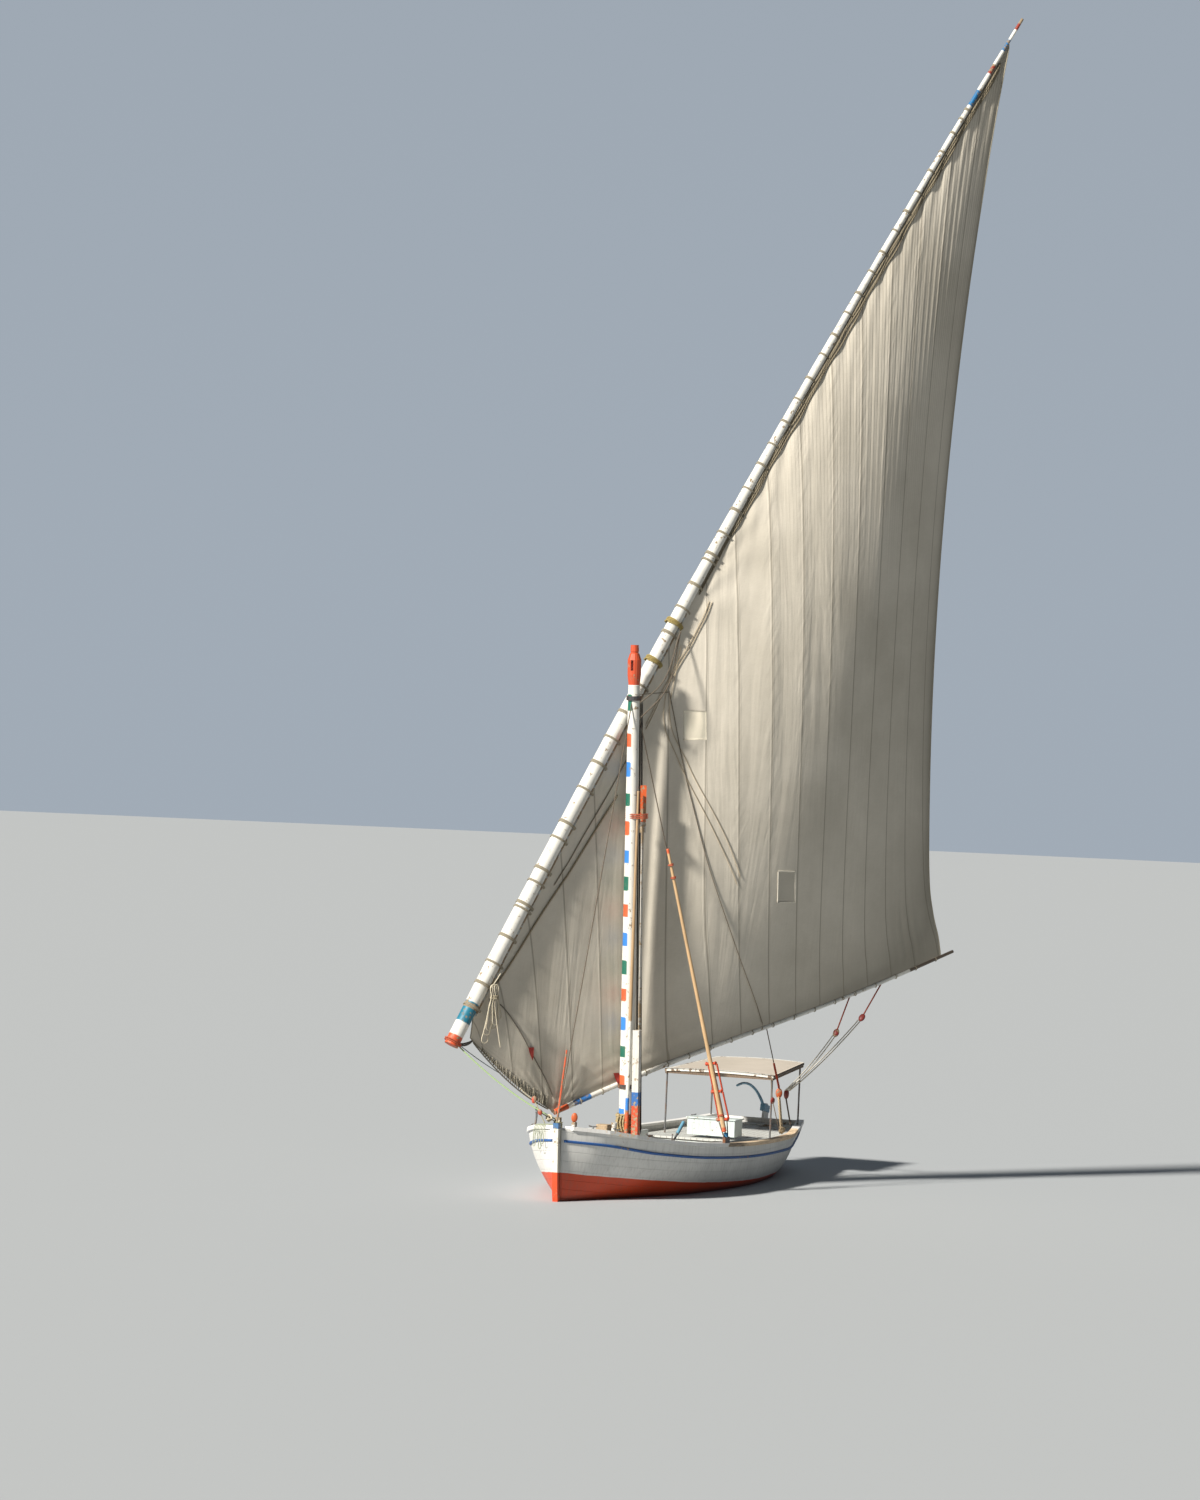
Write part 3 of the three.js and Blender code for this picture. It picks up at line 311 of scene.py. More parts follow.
def worn_paint_group():
    """Old brushed paint on wood: cloudy colour, fine grain, dirt that runs down, and chips that
    gather in patches and show the bare wood."""
    look = Group("worn_paint", {"Paint": (0.7, 0.7, 0.66, 1), "Wood": (0.3, 0.22, 0.14, 1),
                                "Wear": 0.25, "Dirt": 0.3, "Grain": 1.0},
                 ["Color", "Roughness", "Height"])
    place, given = look.place(), look.given
    fine = look.noise(place, 38, 6, 0.7)
    chips = look.noise(place, 11, 8, 0.72)
    gathered = look.math("MULTIPLY_ADD", look.noise(place, 0.9, 3), 0.55, chips)
    over = look.math("SUBTRACT", gathered, look.math("SUBTRACT", 1.05, given["Wear"]))
    chip = look.math("MULTIPLY", over, 30.0, use_clamp=True)
    cloud = look.span(look.noise(place, 1.7, 5, 0.6), 0.3, 0.7, 0.90, 1.05)
    runs = look.span(look.noise(look.drawn(place, (26, 26, 1.8)), 1, 4), 0.48, 0.85)
    dirty = look.mix(look.math("MULTIPLY", runs, given["Dirt"]),
                     look.tint(given["Paint"], cloud), (0.16, 0.13, 0.095))
    wood = look.tint(given["Wood"], look.span(fine, 0, 1, 0.90, 1.1))
    grain = look.math("MULTIPLY", fine, given["Grain"])
    return look.give(look.mix(chip, dirty, wood), look.span(chip, 0, 1, 0.48, 0.85),
                     look.math("SUBTRACT", grain, chip))


worn_paint = worn_paint_group()


def painted(name, paint, wood=BARE_PLANK, wear=0.2, dirt=0.3):
    """A material of old brushed paint in one colour."""
    look = Surface(name)
    return look.finish(*look.group(worn_paint, Paint=paint, Wood=wood, Wear=wear, Dirt=dirt))


def boot_top_line(look, x, low=BOOT_TOP_LOW):
    """The height where the red ends: z = low + rise * (x - middle)^2."""
    squared = look.math("POWER", look.math("ADD", x, -BOOT_TOP_MIDDLE), 2.0)
    return look.math("MULTIPLY_ADD", squared, BOOT_TOP_RISE, low)


def hull_paint():
    """White over orange-red, parted at the boot-top line, with a dark band of painted shadow just
    above the water and fine plank seams at even steps below the sheer's curve, rise * (x -
    middle)^2."""
    look = Surface("hull_paint")
    place = look.place()
    x, y, z = look.split(place)
    ragged = look.math("MULTIPLY_ADD", look.noise(place, 2.5), 0.02, boot_top_line(look, x))
    above = look.span(look.math("SUBTRACT", z, ragged), 0.004, 0.012)
    coat = look.mix(above, BOOT_TOP_PAINT, WHITE_PAINT)
    # Painted shadow: a dark band just above the water.
    waterline_shadowed = look.mix(look.span(z, 0.02, 0.10, 0.75, 0.0), coat, WATERLINE_SHADOW)
    old = look.group(worn_paint, Paint=waterline_shadowed, Wood=BARE_PLANK, Wear=0.04, Dirt=0.30, Grain=0.6)
    sheer_curve = look.math("POWER", look.math("ADD", x, -SHEER_MIDDLE), 2.0)
    below_sheer = look.math("MULTIPLY_ADD", sheer_curve, -SHEER_RISE, z)
    seam = look.off_centre(look.math("DIVIDE", below_sheer, STRAKE))
    groove = look.span(seam, 0.455, 0.5, 0.0, -1.0)
    lined = look.tint(old["Color"], look.span(groove, -1.0, 0.0, 0.88, 1.0))
    return look.finish(lined, old["Roughness"],
                       look.math("MULTIPLY_ADD", groove, 1.6, old["Height"]), 0.0022)


settle(mesh_piece("hull_planking", *hull_shell(), hull_paint()), "hull",
       "hull_shell")

# Studio floor: a pale floor at the waterline. It is cut away inside the planking, so that the
# sole, which lies under the waterline, is seen down the well.
FLOOR_REACH, FLOOR_COLOR = 500, (0.43, 0.455, 0.475, 1)
water_s = np.concatenate([np.linspace(0, 1, 60), np.linspace(1, 0, 60)])
water_side = np.repeat([1.0, -1.0], 60)
water_keel, water_sheer = faired(HULL_LINES, water_s, 3), faired(HULL_LINES, water_s, 2)
waterline = hull_skin(water_s, -water_keel / (water_sheer - water_keel), water_side, 0.022)
waterline[:, 2] = 0.0
far_edge = waterline * FLOOR_REACH / np.linalg.norm(waterline, axis=1, keepdims=True)
floor_points = np.stack([waterline, far_edge])
floor_look = Surface("studio_floor", 0.75)
floor_look.shader["Base Color"].default_value = FLOOR_COLOR
mesh_piece("studio_floor", floor_points, grid_faces(2, 120, around=True),
                    floor_look.material)

# Stem, keel and transom: sawn hardwood timbers bolted to the planking. The stem's head is
# capped with blue paint, its faces are white, and the boot-top's red runs round all three.


def backbone_paint(name, above_water, cap=None, cap_from=9.0):
    """Boot-top red below the hull's line, another paint above it, and a cap colour at the head."""
    look = Surface(name)
    x, y, z = look.split(look.place())
    above = look.math("SUBTRACT", z, boot_top_line(look, x, BOOT_TOP_LOW + 0.01))
    coat = look.mix(look.span(above, 0.0, 0.008), BOOT_TOP_PAINT, above_water)
    capped = look.mix(look.span(z, cap_from, cap_from + 0.01), coat, cap or above_water)
    old = look.group(worn_paint, Paint=capped, Wood=BARE_PLANK, Wear=0.18, Dirt=0.35)
    return look.finish(*old)


def dress(names, material):
    """Gives CAD nodes a material."""
    for name in names:
        nodes[name].data.materials.clear()
        nodes[name].data.materials.append(material)


CREAM_PAINT = (0.68, 0.66, 0.57)
CAP_BLUE = (0.05, 0.15, 0.32)
dress(["stem_post"], backbone_paint("stem_paint", CREAM_PAINT, CAP_BLUE, 1.135))
dress(["keel", "transom"], backbone_paint("keel_paint", WHITE_PAINT))

# Rub rails: half-round strips nailed along both sides under the sheer, in blue gloss that has
# gone matt. Cap rails: flat boards over the plank ends, white forward, bare wood and worn aft.
RUB_BELOW, RUB_DEEP, RUB_SWELL = 0.180, 0.042, 0.026
BARE_RAIL, RAIL_WHITE = (0.90, 0.70, 0.48), (0.84, 0.83, 0.80)
RAIL_WHITE_TO, RAIL_DARK_TO, RAIL_BARE_TO = 1.05, 0.35, -3.30
rub_paint = painted("rub_rail_blue", (0.020, 0.11, 0.36), wear=0.12)


def rub_rail(name, side):
    """The strip's round face stands swell * sin(a)^0.7 off the planking, with a going from its
    top edge to its lower edge, and its flat back sinks into the planking."""
    s = np.linspace(0.004, 0.988, 200)[:, None]
    a = np.concatenate([np.linspace(0, np.pi, 12), np.linspace(np.pi, 0, 4)[1:-1]])[None, :]
    keel, sheer = faired(HULL_LINES, s, 3), faired(HULL_LINES, s, 2)
    z = sheer - RUB_BELOW - RUB_DEEP * (1 - np.cos(a)) / 2
    points = hull_skin(s + 0 * a, (z - keel) / (sheer - keel), side)
    swell = RUB_SWELL * np.sin(a)**0.7 * (np.arange(14) < 12) - 0.010 * (np.arange(14) > 11)
    points[..., 1] += side * (swell + 0.0015)
    i = np.arange(6)
    cap = np.stack([i, i + 1, 12 - i, 13 - i], axis=1)
    faces = np.concatenate([grid_faces(200, 14, around=True), cap[:, ::-1], cap + 199 * 14])
    settle(mesh_piece(f"rub_strip_{name}", points, faces, rub_paint), "hull",
           f"rub_rail_{name}")


rub_rail("port", 1)
rub_rail("starboard", -1)


def plank_grain_group():
    """Sawn wood along the boat: long grain from noise that is stretched along X, with darker
    streaks, and a seam across Y every Board metres."""
    look = Group("plank_grain", {"Light": (0.4, 0.3, 0.2, 1), "Dark": (0.2, 0.14, 0.09, 1),
                                 "Board": 0.12, "Seam": 1.0},
                 ["Color", "Roughness", "Height", "Gap"])
    place, given = look.place(), look.given
    grain = look.noise(look.drawn(place, (1.6, 42, 42)), 1, 7, 0.65, 0.35)
    streaks = look.mix(look.span(grain, 0.32, 0.68), given["Dark"], given["Light"])
    board = look.math("DIVIDE", look.split(place)[1], given["Board"])
    tone = look.add("TexWhiteNoise", {"W": look.math("FLOOR", board)}, noise_dimensions="1D")[0]
    toned = look.tint(streaks, look.span(tone, 0, 1, 0.84, 1.12))
    gap = look.span(look.off_centre(board), 0.465, 0.485)
    seam = look.math("MULTIPLY", gap, given["Seam"])
    return look.give(look.mix(seam, toned, (0.035, 0.028, 0.02)),
                     look.span(grain, 0, 1, 0.85, 0.62),
                     look.math("MULTIPLY_ADD", seam, -1.6, grain), seam)


plank_grain = plank_grain_group()


def rail_finish():
    """White paint forward, aft and all along the starboard side; on the port side a dark worn
    length by the shroud, then pale bare wood. The changes are ragged."""
    look = Surface("cap_rail_finish")
    place = look.place()
    x, y, z = look.split(place)
    ragged = look.math("MULTIPLY_ADD", look.noise(place, 5, 6), 0.9, x)
    ends = look.math("MAXIMUM", look.span(ragged, RAIL_WHITE_TO + 0.40, RAIL_WHITE_TO + 0.48),
                     look.span(ragged, RAIL_BARE_TO + 0.48, RAIL_BARE_TO + 0.40))
    white = look.math("MAXIMUM", ends, look.math("LESS_THAN", y, 0.0))
    trodden = look.span(ragged, RAIL_DARK_TO + 0.30, RAIL_DARK_TO + 0.55)
    wood = look.group(plank_grain, Light=look.mix(trodden, BARE_RAIL, (0.11, 0.095, 0.08)),
                      Dark=(0.50, 0.37, 0.24), Board=0.5, Seam=0.0)
    coat = look.group(worn_paint, Paint=RAIL_WHITE, Wood=BARE_RAIL, Wear=0.14, Dirt=0.15)
    rough = look.add("Mix", {0: white, 2: wood["Roughness"], 3: coat["Roughness"]})[0]
    return look.finish(look.mix(white, wood["Color"], coat["Color"]), rough, wood["Height"])


dress(["cap_rail_port", "cap_rail_starboard"], rail_finish())

# Decks, bulkheads, coamings, benches and case: planks painted white over grey, laid fore and aft,
# trodden bare in places. The sole's boards are bare.
DECK_BOARD = 0.11


def deck_finish(name, paint, wear):
    """Painted planks: paint over the plank grain's seams, worn through to grey-brown wood."""
    look = Surface(name)
    gap = look.group(plank_grain, Light=(0.36, 0.28, 0.19), Dark=(0.20, 0.15, 0.10),
                     Board=DECK_BOARD)["Gap"]
    coat = look.group(worn_paint, Paint=paint, Wood=BARE_PLANK, Wear=wear, Dirt=0.3)
    return look.finish(look.mix(gap, coat["Color"], (0.12, 0.10, 0.08)), coat["Roughness"],
                       look.math("MULTIPLY_ADD", gap, -1.5, coat["Height"]))


dress(["foredeck", "side_deck_port", "side_deck_starboard", "stern_deck"],
      deck_finish("deck_white", (0.60, 0.61, 0.58), 0.16))
dress(["bulkhead_fore", "bulkhead_aft", "coaming_port", "coaming_starboard",
       "centreboard_case", "mast_partner"],
      painted("inside_white", (0.68, 0.72, 0.71), wear=0.12, dirt=0.3))
dress(["bench_port", "bench_starboard"], deck_finish("bench_white", (0.58, 0.60, 0.60), 0.18))


def bare_boards(name, light, dark, board=DECK_BOARD):
    """Unpainted planks, oiled once and gone grey."""
    look = Surface(name)
    wood = look.group(plank_grain, Light=light, Dark=dark, Board=board)
    return look.finish(*wood[:3])


dress(["sole", "mast_step"], bare_boards("sole_boards", (0.34, 0.25, 0.16), (0.17, 0.12, 0.08)))


def iron_finish(name="old_iron", clean=(0.10, 0.10, 0.105), rust=(0.17, 0.07, 0.03)):
    """Forged iron that has rusted in blots and been handled smooth in between."""
    look = Surface(name)
    blots = look.noise(look.place(), 9, 7, 0.7)
    red = look.span(blots, 0.45, 0.6)
    look.tree.links.new(look.span(red, 0, 1, 0.8, 0.1), look.shader["Metallic"])
    return look.finish(look.mix(red, clean, rust), look.span(red, 0, 1, 0.45, 0.85), blots,
                       0.001)


old_iron = iron_finish()
dress(["centreboard", "gudgeon_lower", "gudgeon_upper", "shroud_eye_port",
       "shroud_eye_starboard"], old_iron)

# Mast: a grown pole, adzed round, that leans forward four degrees. It is painted white, with
# flags of green, orange and blue up its starboard bow face, and its bored head is orange-red.
MAST_FOOT = np.array([1.7, 0.0, 0.0])
MAST_RAKE = np.radians(4)
MAST_UP = np.array([np.sin(MAST_RAKE), 0.0, np.cos(MAST_RAKE)])
MAST_AHEAD = np.array([np.cos(MAST_RAKE), 0.0, -np.sin(MAST_RAKE)])
PORT = np.array([0.0, 1.0, 0.0])
MAST_FROM, MAST_TO = -0.2896, 8.15
MAST_RADII = (0.128, 0.0931)
GREEN, ORANGE, BLUE = (0.012, 0.13, 0.085), (0.60, 0.105, 0.035), (0.035, 0.20, 0.58)
MAST_FLAGS = [(7.73, 8.00), (7.15, 7.37), (6.67, 6.91), (6.20, 6.41), (5.73, 5.96),
              (5.28, 5.49), (4.84, 5.07), (4.41, 4.62), (3.94, 4.16), (3.48, 3.71),
              (3.05, 3.26), (2.58, 2.79), (2.14, 2.33), (1.65, 1.85), (1.19, 1.31)]
FLAG_TURN, FLAG_SPREAD, MAST_FOOT_RED = np.radians(-32), 1.38, (0.50, 0.10, 0.05)
SPAR_WHITE = (0.70, 0.69, 0.64)


def mast_point(ahead, port, up):
    """A point given along the mast's own leaning axes."""
    ahead, port, up = np.broadcast_arrays(ahead, port, up)
    return (MAST_FOOT + ahead[..., None] * MAST_AHEAD + port[..., None] * PORT
            + up[..., None] * MAST_UP)


def tapered(radii, t):
    """The radius at a share t of the way between two."""
    return radii[0] + (radii[1] - radii[0]) * t


def lengths(path):
    """The length along a path up to each of its points."""
    return np.concatenate([[0], np.cumsum(np.linalg.norm(np.diff(path, axis=0), axis=1))])


def unit(vector):
    """The vector, or each row of an array, at length one."""
    vector = np.asarray(vector, float)
    return vector / np.linalg.norm(vector, axis=-1, keepdims=True)


def tube_skin(path, sides, radius):
    """The quads of a tube round a path and their map: metres round and metres along."""
    along = lengths(path)
    i, j = np.divmod(np.arange((len(path) - 1) * sides), sides)
    u = np.stack([j + 1, j + 1, j, j], axis=1) * 2 * np.pi * radius / sides
    v = np.stack([along[i], along[i + 1], along[i + 1], along[i]], axis=1)
    faces = grid_faces(len(path), sides, around=True)[:, ::-1]
    return faces, np.stack([u, v], axis=-1).reshape(-1, 2)


def bar_piece(name, path, radii, sides, material=None, beside=PORT):
    """A solid bar with flat ends: point = path + r * (cos a * u + sin a * v), where u is the
    part of beside square to the path's direction and v is square to both."""
    path = np.asarray(path, float)
    step = unit(np.gradient(path, axis=0))
    u = unit(beside - step * (step @ beside)[:, None])
    v = np.cross(step, u)
    a = np.linspace(0, 2 * np.pi, sides, endpoint=False)[None, :, None]
    r = np.broadcast_to(radii, len(path))[:, None, None]
    points = path[:, None] + r * (np.cos(a) * u[:, None] + np.sin(a) * v[:, None])
    faces, uv = tube_skin(path, sides, float(np.mean(radii)))
    ends = [list(range(sides))[::-1], list(range((len(path) - 1) * sides, len(path) * sides))]
    uv = np.concatenate([uv, np.zeros((2 * sides, 2))])
    smooth = [True] * len(faces) + [False] * 2
    return mesh_piece(name, points, faces.tolist() + ends, material, uv, smooth)


def coat_spar(piece, color, cover):
    """Puts a paint colour and how much of it is left, 0 to 1, on each point of a spar."""
    layer = piece.data.attributes.new("coat", "FLOAT_COLOR", "POINT")
    layer.data.foreach_set("color", np.concatenate([color, cover[..., None]], axis=-1)
                           .astype(np.float32).ravel())


def spar_finish():
    """Paint from the spar's own coat attribute over long-grained pole wood. Where the coat's
    cover and the chipping noise sum to less than one, the wood shows."""
    look = Surface("spar_finish")
    coat = look.add("Attribute", attribute_name="coat")
    place = look.place()
    chips = look.span(look.noise(place, 10, 9, 0.74), 0.25, 0.75)
    paint = look.span(look.math("ADD", coat["Alpha"], chips), 0.98, 1.03)
    cloud = look.span(look.noise(place, 3, 4), 0.3, 0.7, 0.88, 1.06)
    grain = look.noise(look.drawn(look.uv(), (60, 2.2, 1)), 1, 6)
    wood = look.mix(grain, (0.13, 0.095, 0.06), (0.40, 0.30, 0.19))
    return look.finish(look.mix(paint, wood, look.tint(coat["Color"], cloud)),
                       look.span(paint, 0, 1, 0.85, 0.5),
                       look.math("MULTIPLY_ADD", paint, 0.8, grain), 0.0015)


spar_paint = spar_finish()


def painted_spar(name, path, radii, sides, base, marks, cover, beside=PORT, underside_shade=0.0):
    """A spar in one colour with marks (from, to, colour, cover) laid over it between two lengths
    along the path. Its lower side gets thinner paint cover, so more dark wood shows: painted shade
    under the spar."""
    piece = bar_piece(name, path, radii, sides, spar_paint, beside)
    along = lengths(path)
    color = np.tile(np.array(base, float), (len(path), sides, 1))
    left = np.full((len(path), sides), cover)
    for low, high, paint, amount in marks:
        inside = (along >= low) & (along < high)
        color[inside], left[inside] = paint, amount
    turn = np.linspace(0, 2 * np.pi, sides, endpoint=False)
    # Painted shade: thinner paint on the lower side darkens it.
    left = np.clip(left - underside_shade * np.clip(-np.cos(turn - 0.5), 0, 1)**2, 0, 1)
    coat_spar(piece, color, left)
    return piece


def mast_piece():
    """The pole, with its flags on the face that FLAG_TURN names. A flag's free edge is curved:
    it reaches out to spread * sqrt(1 - (2 t - 1)^2 / 3) round the pole at t of its height."""
    sides, rows = 48, 700
    up = np.linspace(MAST_FROM, MAST_TO, rows)
    radii = tapered(MAST_RADII, (up - MAST_FROM) / (MAST_TO + 0.03 - MAST_FROM))
    radii = radii + 0.0012 * np.sin(up * 3.1) * np.sin(up * 1.3 + 0.7) - 0.001
    piece = bar_piece("mast_pole", mast_point(0.0, 0.0, up), radii, sides, spar_paint, MAST_AHEAD)
    turn = np.linspace(0, 2 * np.pi, sides, endpoint=False)[None, :]
    off = (turn - FLAG_TURN + np.pi) % (2 * np.pi) - np.pi
    color = np.tile(np.array(SPAR_WHITE, float), (rows, sides, 1))
    for k, (low, high) in enumerate(MAST_FLAGS):
        share = np.clip((up - low) / (high - low), 0, 1)[:, None]
        reach = FLAG_SPREAD * np.sqrt(1 - (2 * share - 1) ** 2 / 3)
        inside = ((up >= low) & (up <= high))[:, None] & (off < reach * 0.48) & (off > -reach)
        color[inside] = (GREEN, ORANGE, BLUE)[k % 3]
    foot = np.broadcast_to((up < 1.02)[:, None], (rows, sides))
    color[foot] = MAST_FOOT_RED
    coat_spar(piece, color, np.where(foot, 0.5, 0.74))
    return piece


settle(mast_piece(), "hull", "mast")
MAST_RED = (0.54, 0.068, 0.020)
dress(["mast_head"], painted("mast_head_red", MAST_RED, wear=0.22, dirt=0.5))

# Post, oar and poles at the mast: a square post bolted beside the mast, white with a blue band
# and a red foot; an oar with an orange blade, and a spare pole and a punt pole of bare wood
# with painted ends.


def banded_paint(name, foot, bands, wood, wear, dirt):
    """Worn paint that changes colour going up. Each band is the two heights that the change
    takes place between and the colour above them."""
    look = Surface(name)
    z, paint = look.split(look.place())[2], foot
    for low, high, color in bands:
        paint = look.mix(look.span(z, low, high), paint, color)
    return look.finish(*look.group(worn_paint, Paint=paint, Wood=wood, Wear=wear, Dirt=dirt))


dress(["mast_post"], banded_paint("post_finish", MAST_RED, [
    (1.36, 1.365, (0.03, 0.13, 0.38)), (1.58, 1.585, (0.62, 0.61, 0.57))],
    (0.34, 0.26, 0.17), 0.24, 0.45))

dress(["oar"], banded_paint("oar_finish", (0.56, 0.54, 0.49), [
    (5.93, 5.94, (0.62, 0.10, 0.02))], (0.36, 0.27, 0.17), 0.27, 0.3))


def pole_piece(name, foot, head, radii, marks, node_name, light):
    """A straight tapering pole of pale wood with painted ends and slow swellings along it."""
    t = np.linspace(0, 1, 220)
    path = foot + (head - foot) * t[:, None]
    swell = 1 + 0.02 * np.sin(37 * t) + 0.015 * np.sin(91 * t + 1)
    r = tapered(radii, t) * swell - 0.0005
    settle(painted_spar(name, path, r, 20, light, marks, 1.0), "hull", node_name)


spare_foot = mast_point(0.205, 0.082, 0.795)
spare_head = mast_point(0.062, 0.132, 6.45)
pole_piece("spare_pole_wood", spare_foot, spare_head, (0.0335, 0.020),
           [(0, 0.50, ORANGE, 0.6), (0.50, 0.70, BLUE, 0.65), (0.70, 1.95, SPAR_WHITE, 0.7)],
           "spare_pole", (0.40, 0.27, 0.15))
punt_foot, punt_head = np.array([1.136, 1.462, 0.990]), np.array([1.905, 0.560, 5.520])
pole_piece("punt_pole_wood", punt_foot, punt_head, (0.038, 0.024),
           [(0, 0.07, ORANGE, 0.65), (4.60, 4.8, ORANGE, 0.6)], "punt_pole", (0.55, 0.37, 0.20))

# Yard: two long poles scarfed end to end and bound with rope every half metre, bowed upward by
# the halyard's pull. White paint, an orange-red heel, a blue band, and bands near the peak.
RIG_EASE = np.radians(35)
RIG_BACK = -np.cos(RIG_EASE) * MAST_AHEAD + np.sin(RIG_EASE) * PORT
RIG_AWAY = -np.sin(RIG_EASE) * MAST_AHEAD - np.cos(RIG_EASE) * PORT
YARD_AWAY, BOOM_AWAY = 0.262, 0.225
YARD_HEEL, YARD_PEAK = np.array([-3.17, 2.47]), np.array([7.83, 19.37])
YARD_BOW = 0.215
YARD_JOINT = 0.45
YARD_GIRTH = np.array([[0, 0.118], [0.06, 0.122], [0.35, 0.108], [0.55, 0.080], [0.72, 0.060],
                       [0.90, 0.044], [1, 0.026]])
yard_chord = YARD_PEAK - YARD_HEEL
YARD_LENGTH = float(np.hypot(*yard_chord))
yard_rise = np.array([-yard_chord[1], yard_chord[0]]) / YARD_LENGTH
TEAL, YARD_RED, PEAK_BLUE = (0.012, 0.17, 0.26), (0.58, 0.085, 0.028), (0.012, 0.14, 0.33)
DULL_RED, WORN_WOOD = (0.28, 0.035, 0.02), (0.30, 0.22, 0.15)


def rig_point(reach, off, up):
    """A point given along the rig's own axes: back along the boom, away from the weather side
    of the sail, and up the mast."""
    reach, off, up = np.broadcast_arrays(reach, off, up)
    return (MAST_FOOT + reach[..., None] * RIG_BACK + off[..., None] * RIG_AWAY
            + up[..., None] * MAST_UP)


def yard_line(t, above=0.0):
    """Reach and height of the yard's middle line: the chord plus 4 * bow * t * (1 - t)."""
    lift = 4 * YARD_BOW * t * (1 - t) + above
    return (YARD_HEEL[0] + yard_chord[0] * t + yard_rise[0] * lift,
            YARD_HEEL[1] + yard_chord[1] * t + yard_rise[1] * lift)


def yard_point(t, above=0.0, off=0.0):
    """A point of the yard in the boat's frame, moved up and away from its middle line."""
    reach, up = yard_line(np.asarray(t, float), above)
    return rig_point(reach, YARD_AWAY + off, up)


def yard_spar(name, start, end, rows, marks, node_name, cover):
    """One pole of the yard with slow swellings, its paint marks given in metres along it, and
    painted shade on its underside.
    """
    t = np.linspace(start, end, rows)
    radii = faired(YARD_GIRTH, t, 1) + 0.0022 * np.sin(t * 160) * np.sin(t * 53) - 0.0022
    spar = painted_spar(name, yard_point(t), radii, 32, SPAR_WHITE, marks, cover, MAST_UP, 0.13)
    settle(spar, "rig", node_name)


yard_spar("yard_lower_pole", 0, YARD_JOINT, 620,
          [(0, 0.17, YARD_RED, 0.62), (0.40, 0.66, TEAL, 0.62), (0.66, 0.72, WORN_WOOD, 0.2),
           (0.72, 0.75, TEAL, 0.55)], "yard_lower", 0.72)
upper_from = YARD_JOINT + 0.00003
joint_at = YARD_LENGTH * upper_from
peak_marks = [(18.29, 18.61, PEAK_BLUE, 0.6), (18.97, 19.17, DULL_RED, 0.55),
              (19.47, 19.71, PEAK_BLUE, 0.6), (19.93, 20.06, DULL_RED, 0.6),
              (20.06, 30.0, WORN_WOOD, 0.0)]  # metres from the heel
yard_spar("yard_upper_pole", upper_from, 1, 760,
          [(low - joint_at, high - joint_at, *mark) for low, high, *mark in peak_marks],
          "yard_upper", 0.68)

# Batten: a thin pole lashed along the yard's lower edge, to which the sail's head is sewn. Its
# grey-blue paint has mostly gone.
BATTEN_FROM, BATTEN_TO, BATTEN_RADIUS = 0.03, 0.62, 0.027


def between(at, place, points):
    """Points on the straight lines that join points, which lie at place."""
    return np.stack([np.interp(at, place, points[:, i]) for i in range(3)], axis=1)


batten_t = np.linspace(BATTEN_FROM, BATTEN_TO, 15)
batten_knots = yard_point(batten_t, -(faired(YARD_GIRTH, batten_t, 1) + BATTEN_RADIUS - 0.007))
fine = np.linspace(BATTEN_FROM, BATTEN_TO, 15 * 24)
batten_path = between(fine, batten_t, batten_knots)
batten = painted_spar("batten_pole", batten_path, BATTEN_RADIUS - 0.001, 14,
                      (0.40, 0.43, 0.43), [], 0.44)
settle(batten, "rig", "yard_batten")

# Boom: a light pole along the foot of the sail. Orange tip, blue band, white to near the end,
# where the wood is bare and dark. The tack stick stands at its fore end.
BOOM_TACK, BOOM_RADII = np.array([-1.24, 1.29]), (0.048, 0.027)
BOOM_RUN = np.array([6.76, 3.55]) - BOOM_TACK
BOOM_KNOTS = np.linspace(0, 1, 11)


def boom_height(reach):
    """The boom's middle line: straight between its ends, plus 45 mm * sin(2 pi t)."""
    t = np.clip((reach - BOOM_TACK[0]) / BOOM_RUN[0], 0, 1)
    return BOOM_TACK[1] + BOOM_RUN[1] * t + 0.045 * np.sin(2 * np.pi * t)


def boom_point(t):
    """A point of the boom, which is straight between its knots."""
    knot_up = boom_height(BOOM_TACK[0] + BOOM_RUN[0] * BOOM_KNOTS)
    return rig_point(BOOM_TACK[0] + BOOM_RUN[0] * t, BOOM_AWAY, np.interp(t, BOOM_KNOTS, knot_up))


boom_t = np.linspace(0, 1, 520)
boom_radii = tapered(BOOM_RADII, boom_t) - 0.001
boom = painted_spar("boom_pole", boom_point(boom_t), boom_radii, 20, SPAR_WHITE, [
    (0, 0.26, (0.60, 0.10, 0.03), 0.6), (0.38, 0.72, (0.03, 0.17, 0.48), 0.6),
    (7.35, 9, (0.115, 0.09, 0.068), 0.85)], 0.68)
settle(boom, "rig", "boom")
dress(["tack_stick"], painted("tack_stick_red", (0.58, 0.10, 0.035), wear=0.25))
dress(["yard_parrel", "boom_parrel"], iron_finish("parrel_iron"))

# Lashings: tarred hemp wound three or four times round the yard and its batten, and round the
# boom and the sail's foot rope, each finished with a crossed hitch.
ROPE_TAN = (0.36, 0.32, 0.24)
LASHINGS = [0.70, 1.10, 1.48, 1.95, 2.47, 2.55, 2.95, 3.19, 3.75, 4.04, 4.67, 5.15, 5.62, 6.10,
            6.62, 7.62, 8.10, 8.55, 9.02, 9.14, 9.55, 10.0, 10.42, 10.9, 11.3, 11.75, 12.2, 12.62,
            13.1, 13.5, 13.95, 14.35, 14.8, 15.2, 15.65, 16.05, 16.45, 16.9, 17.3, 17.7, 18.0,
            18.2]


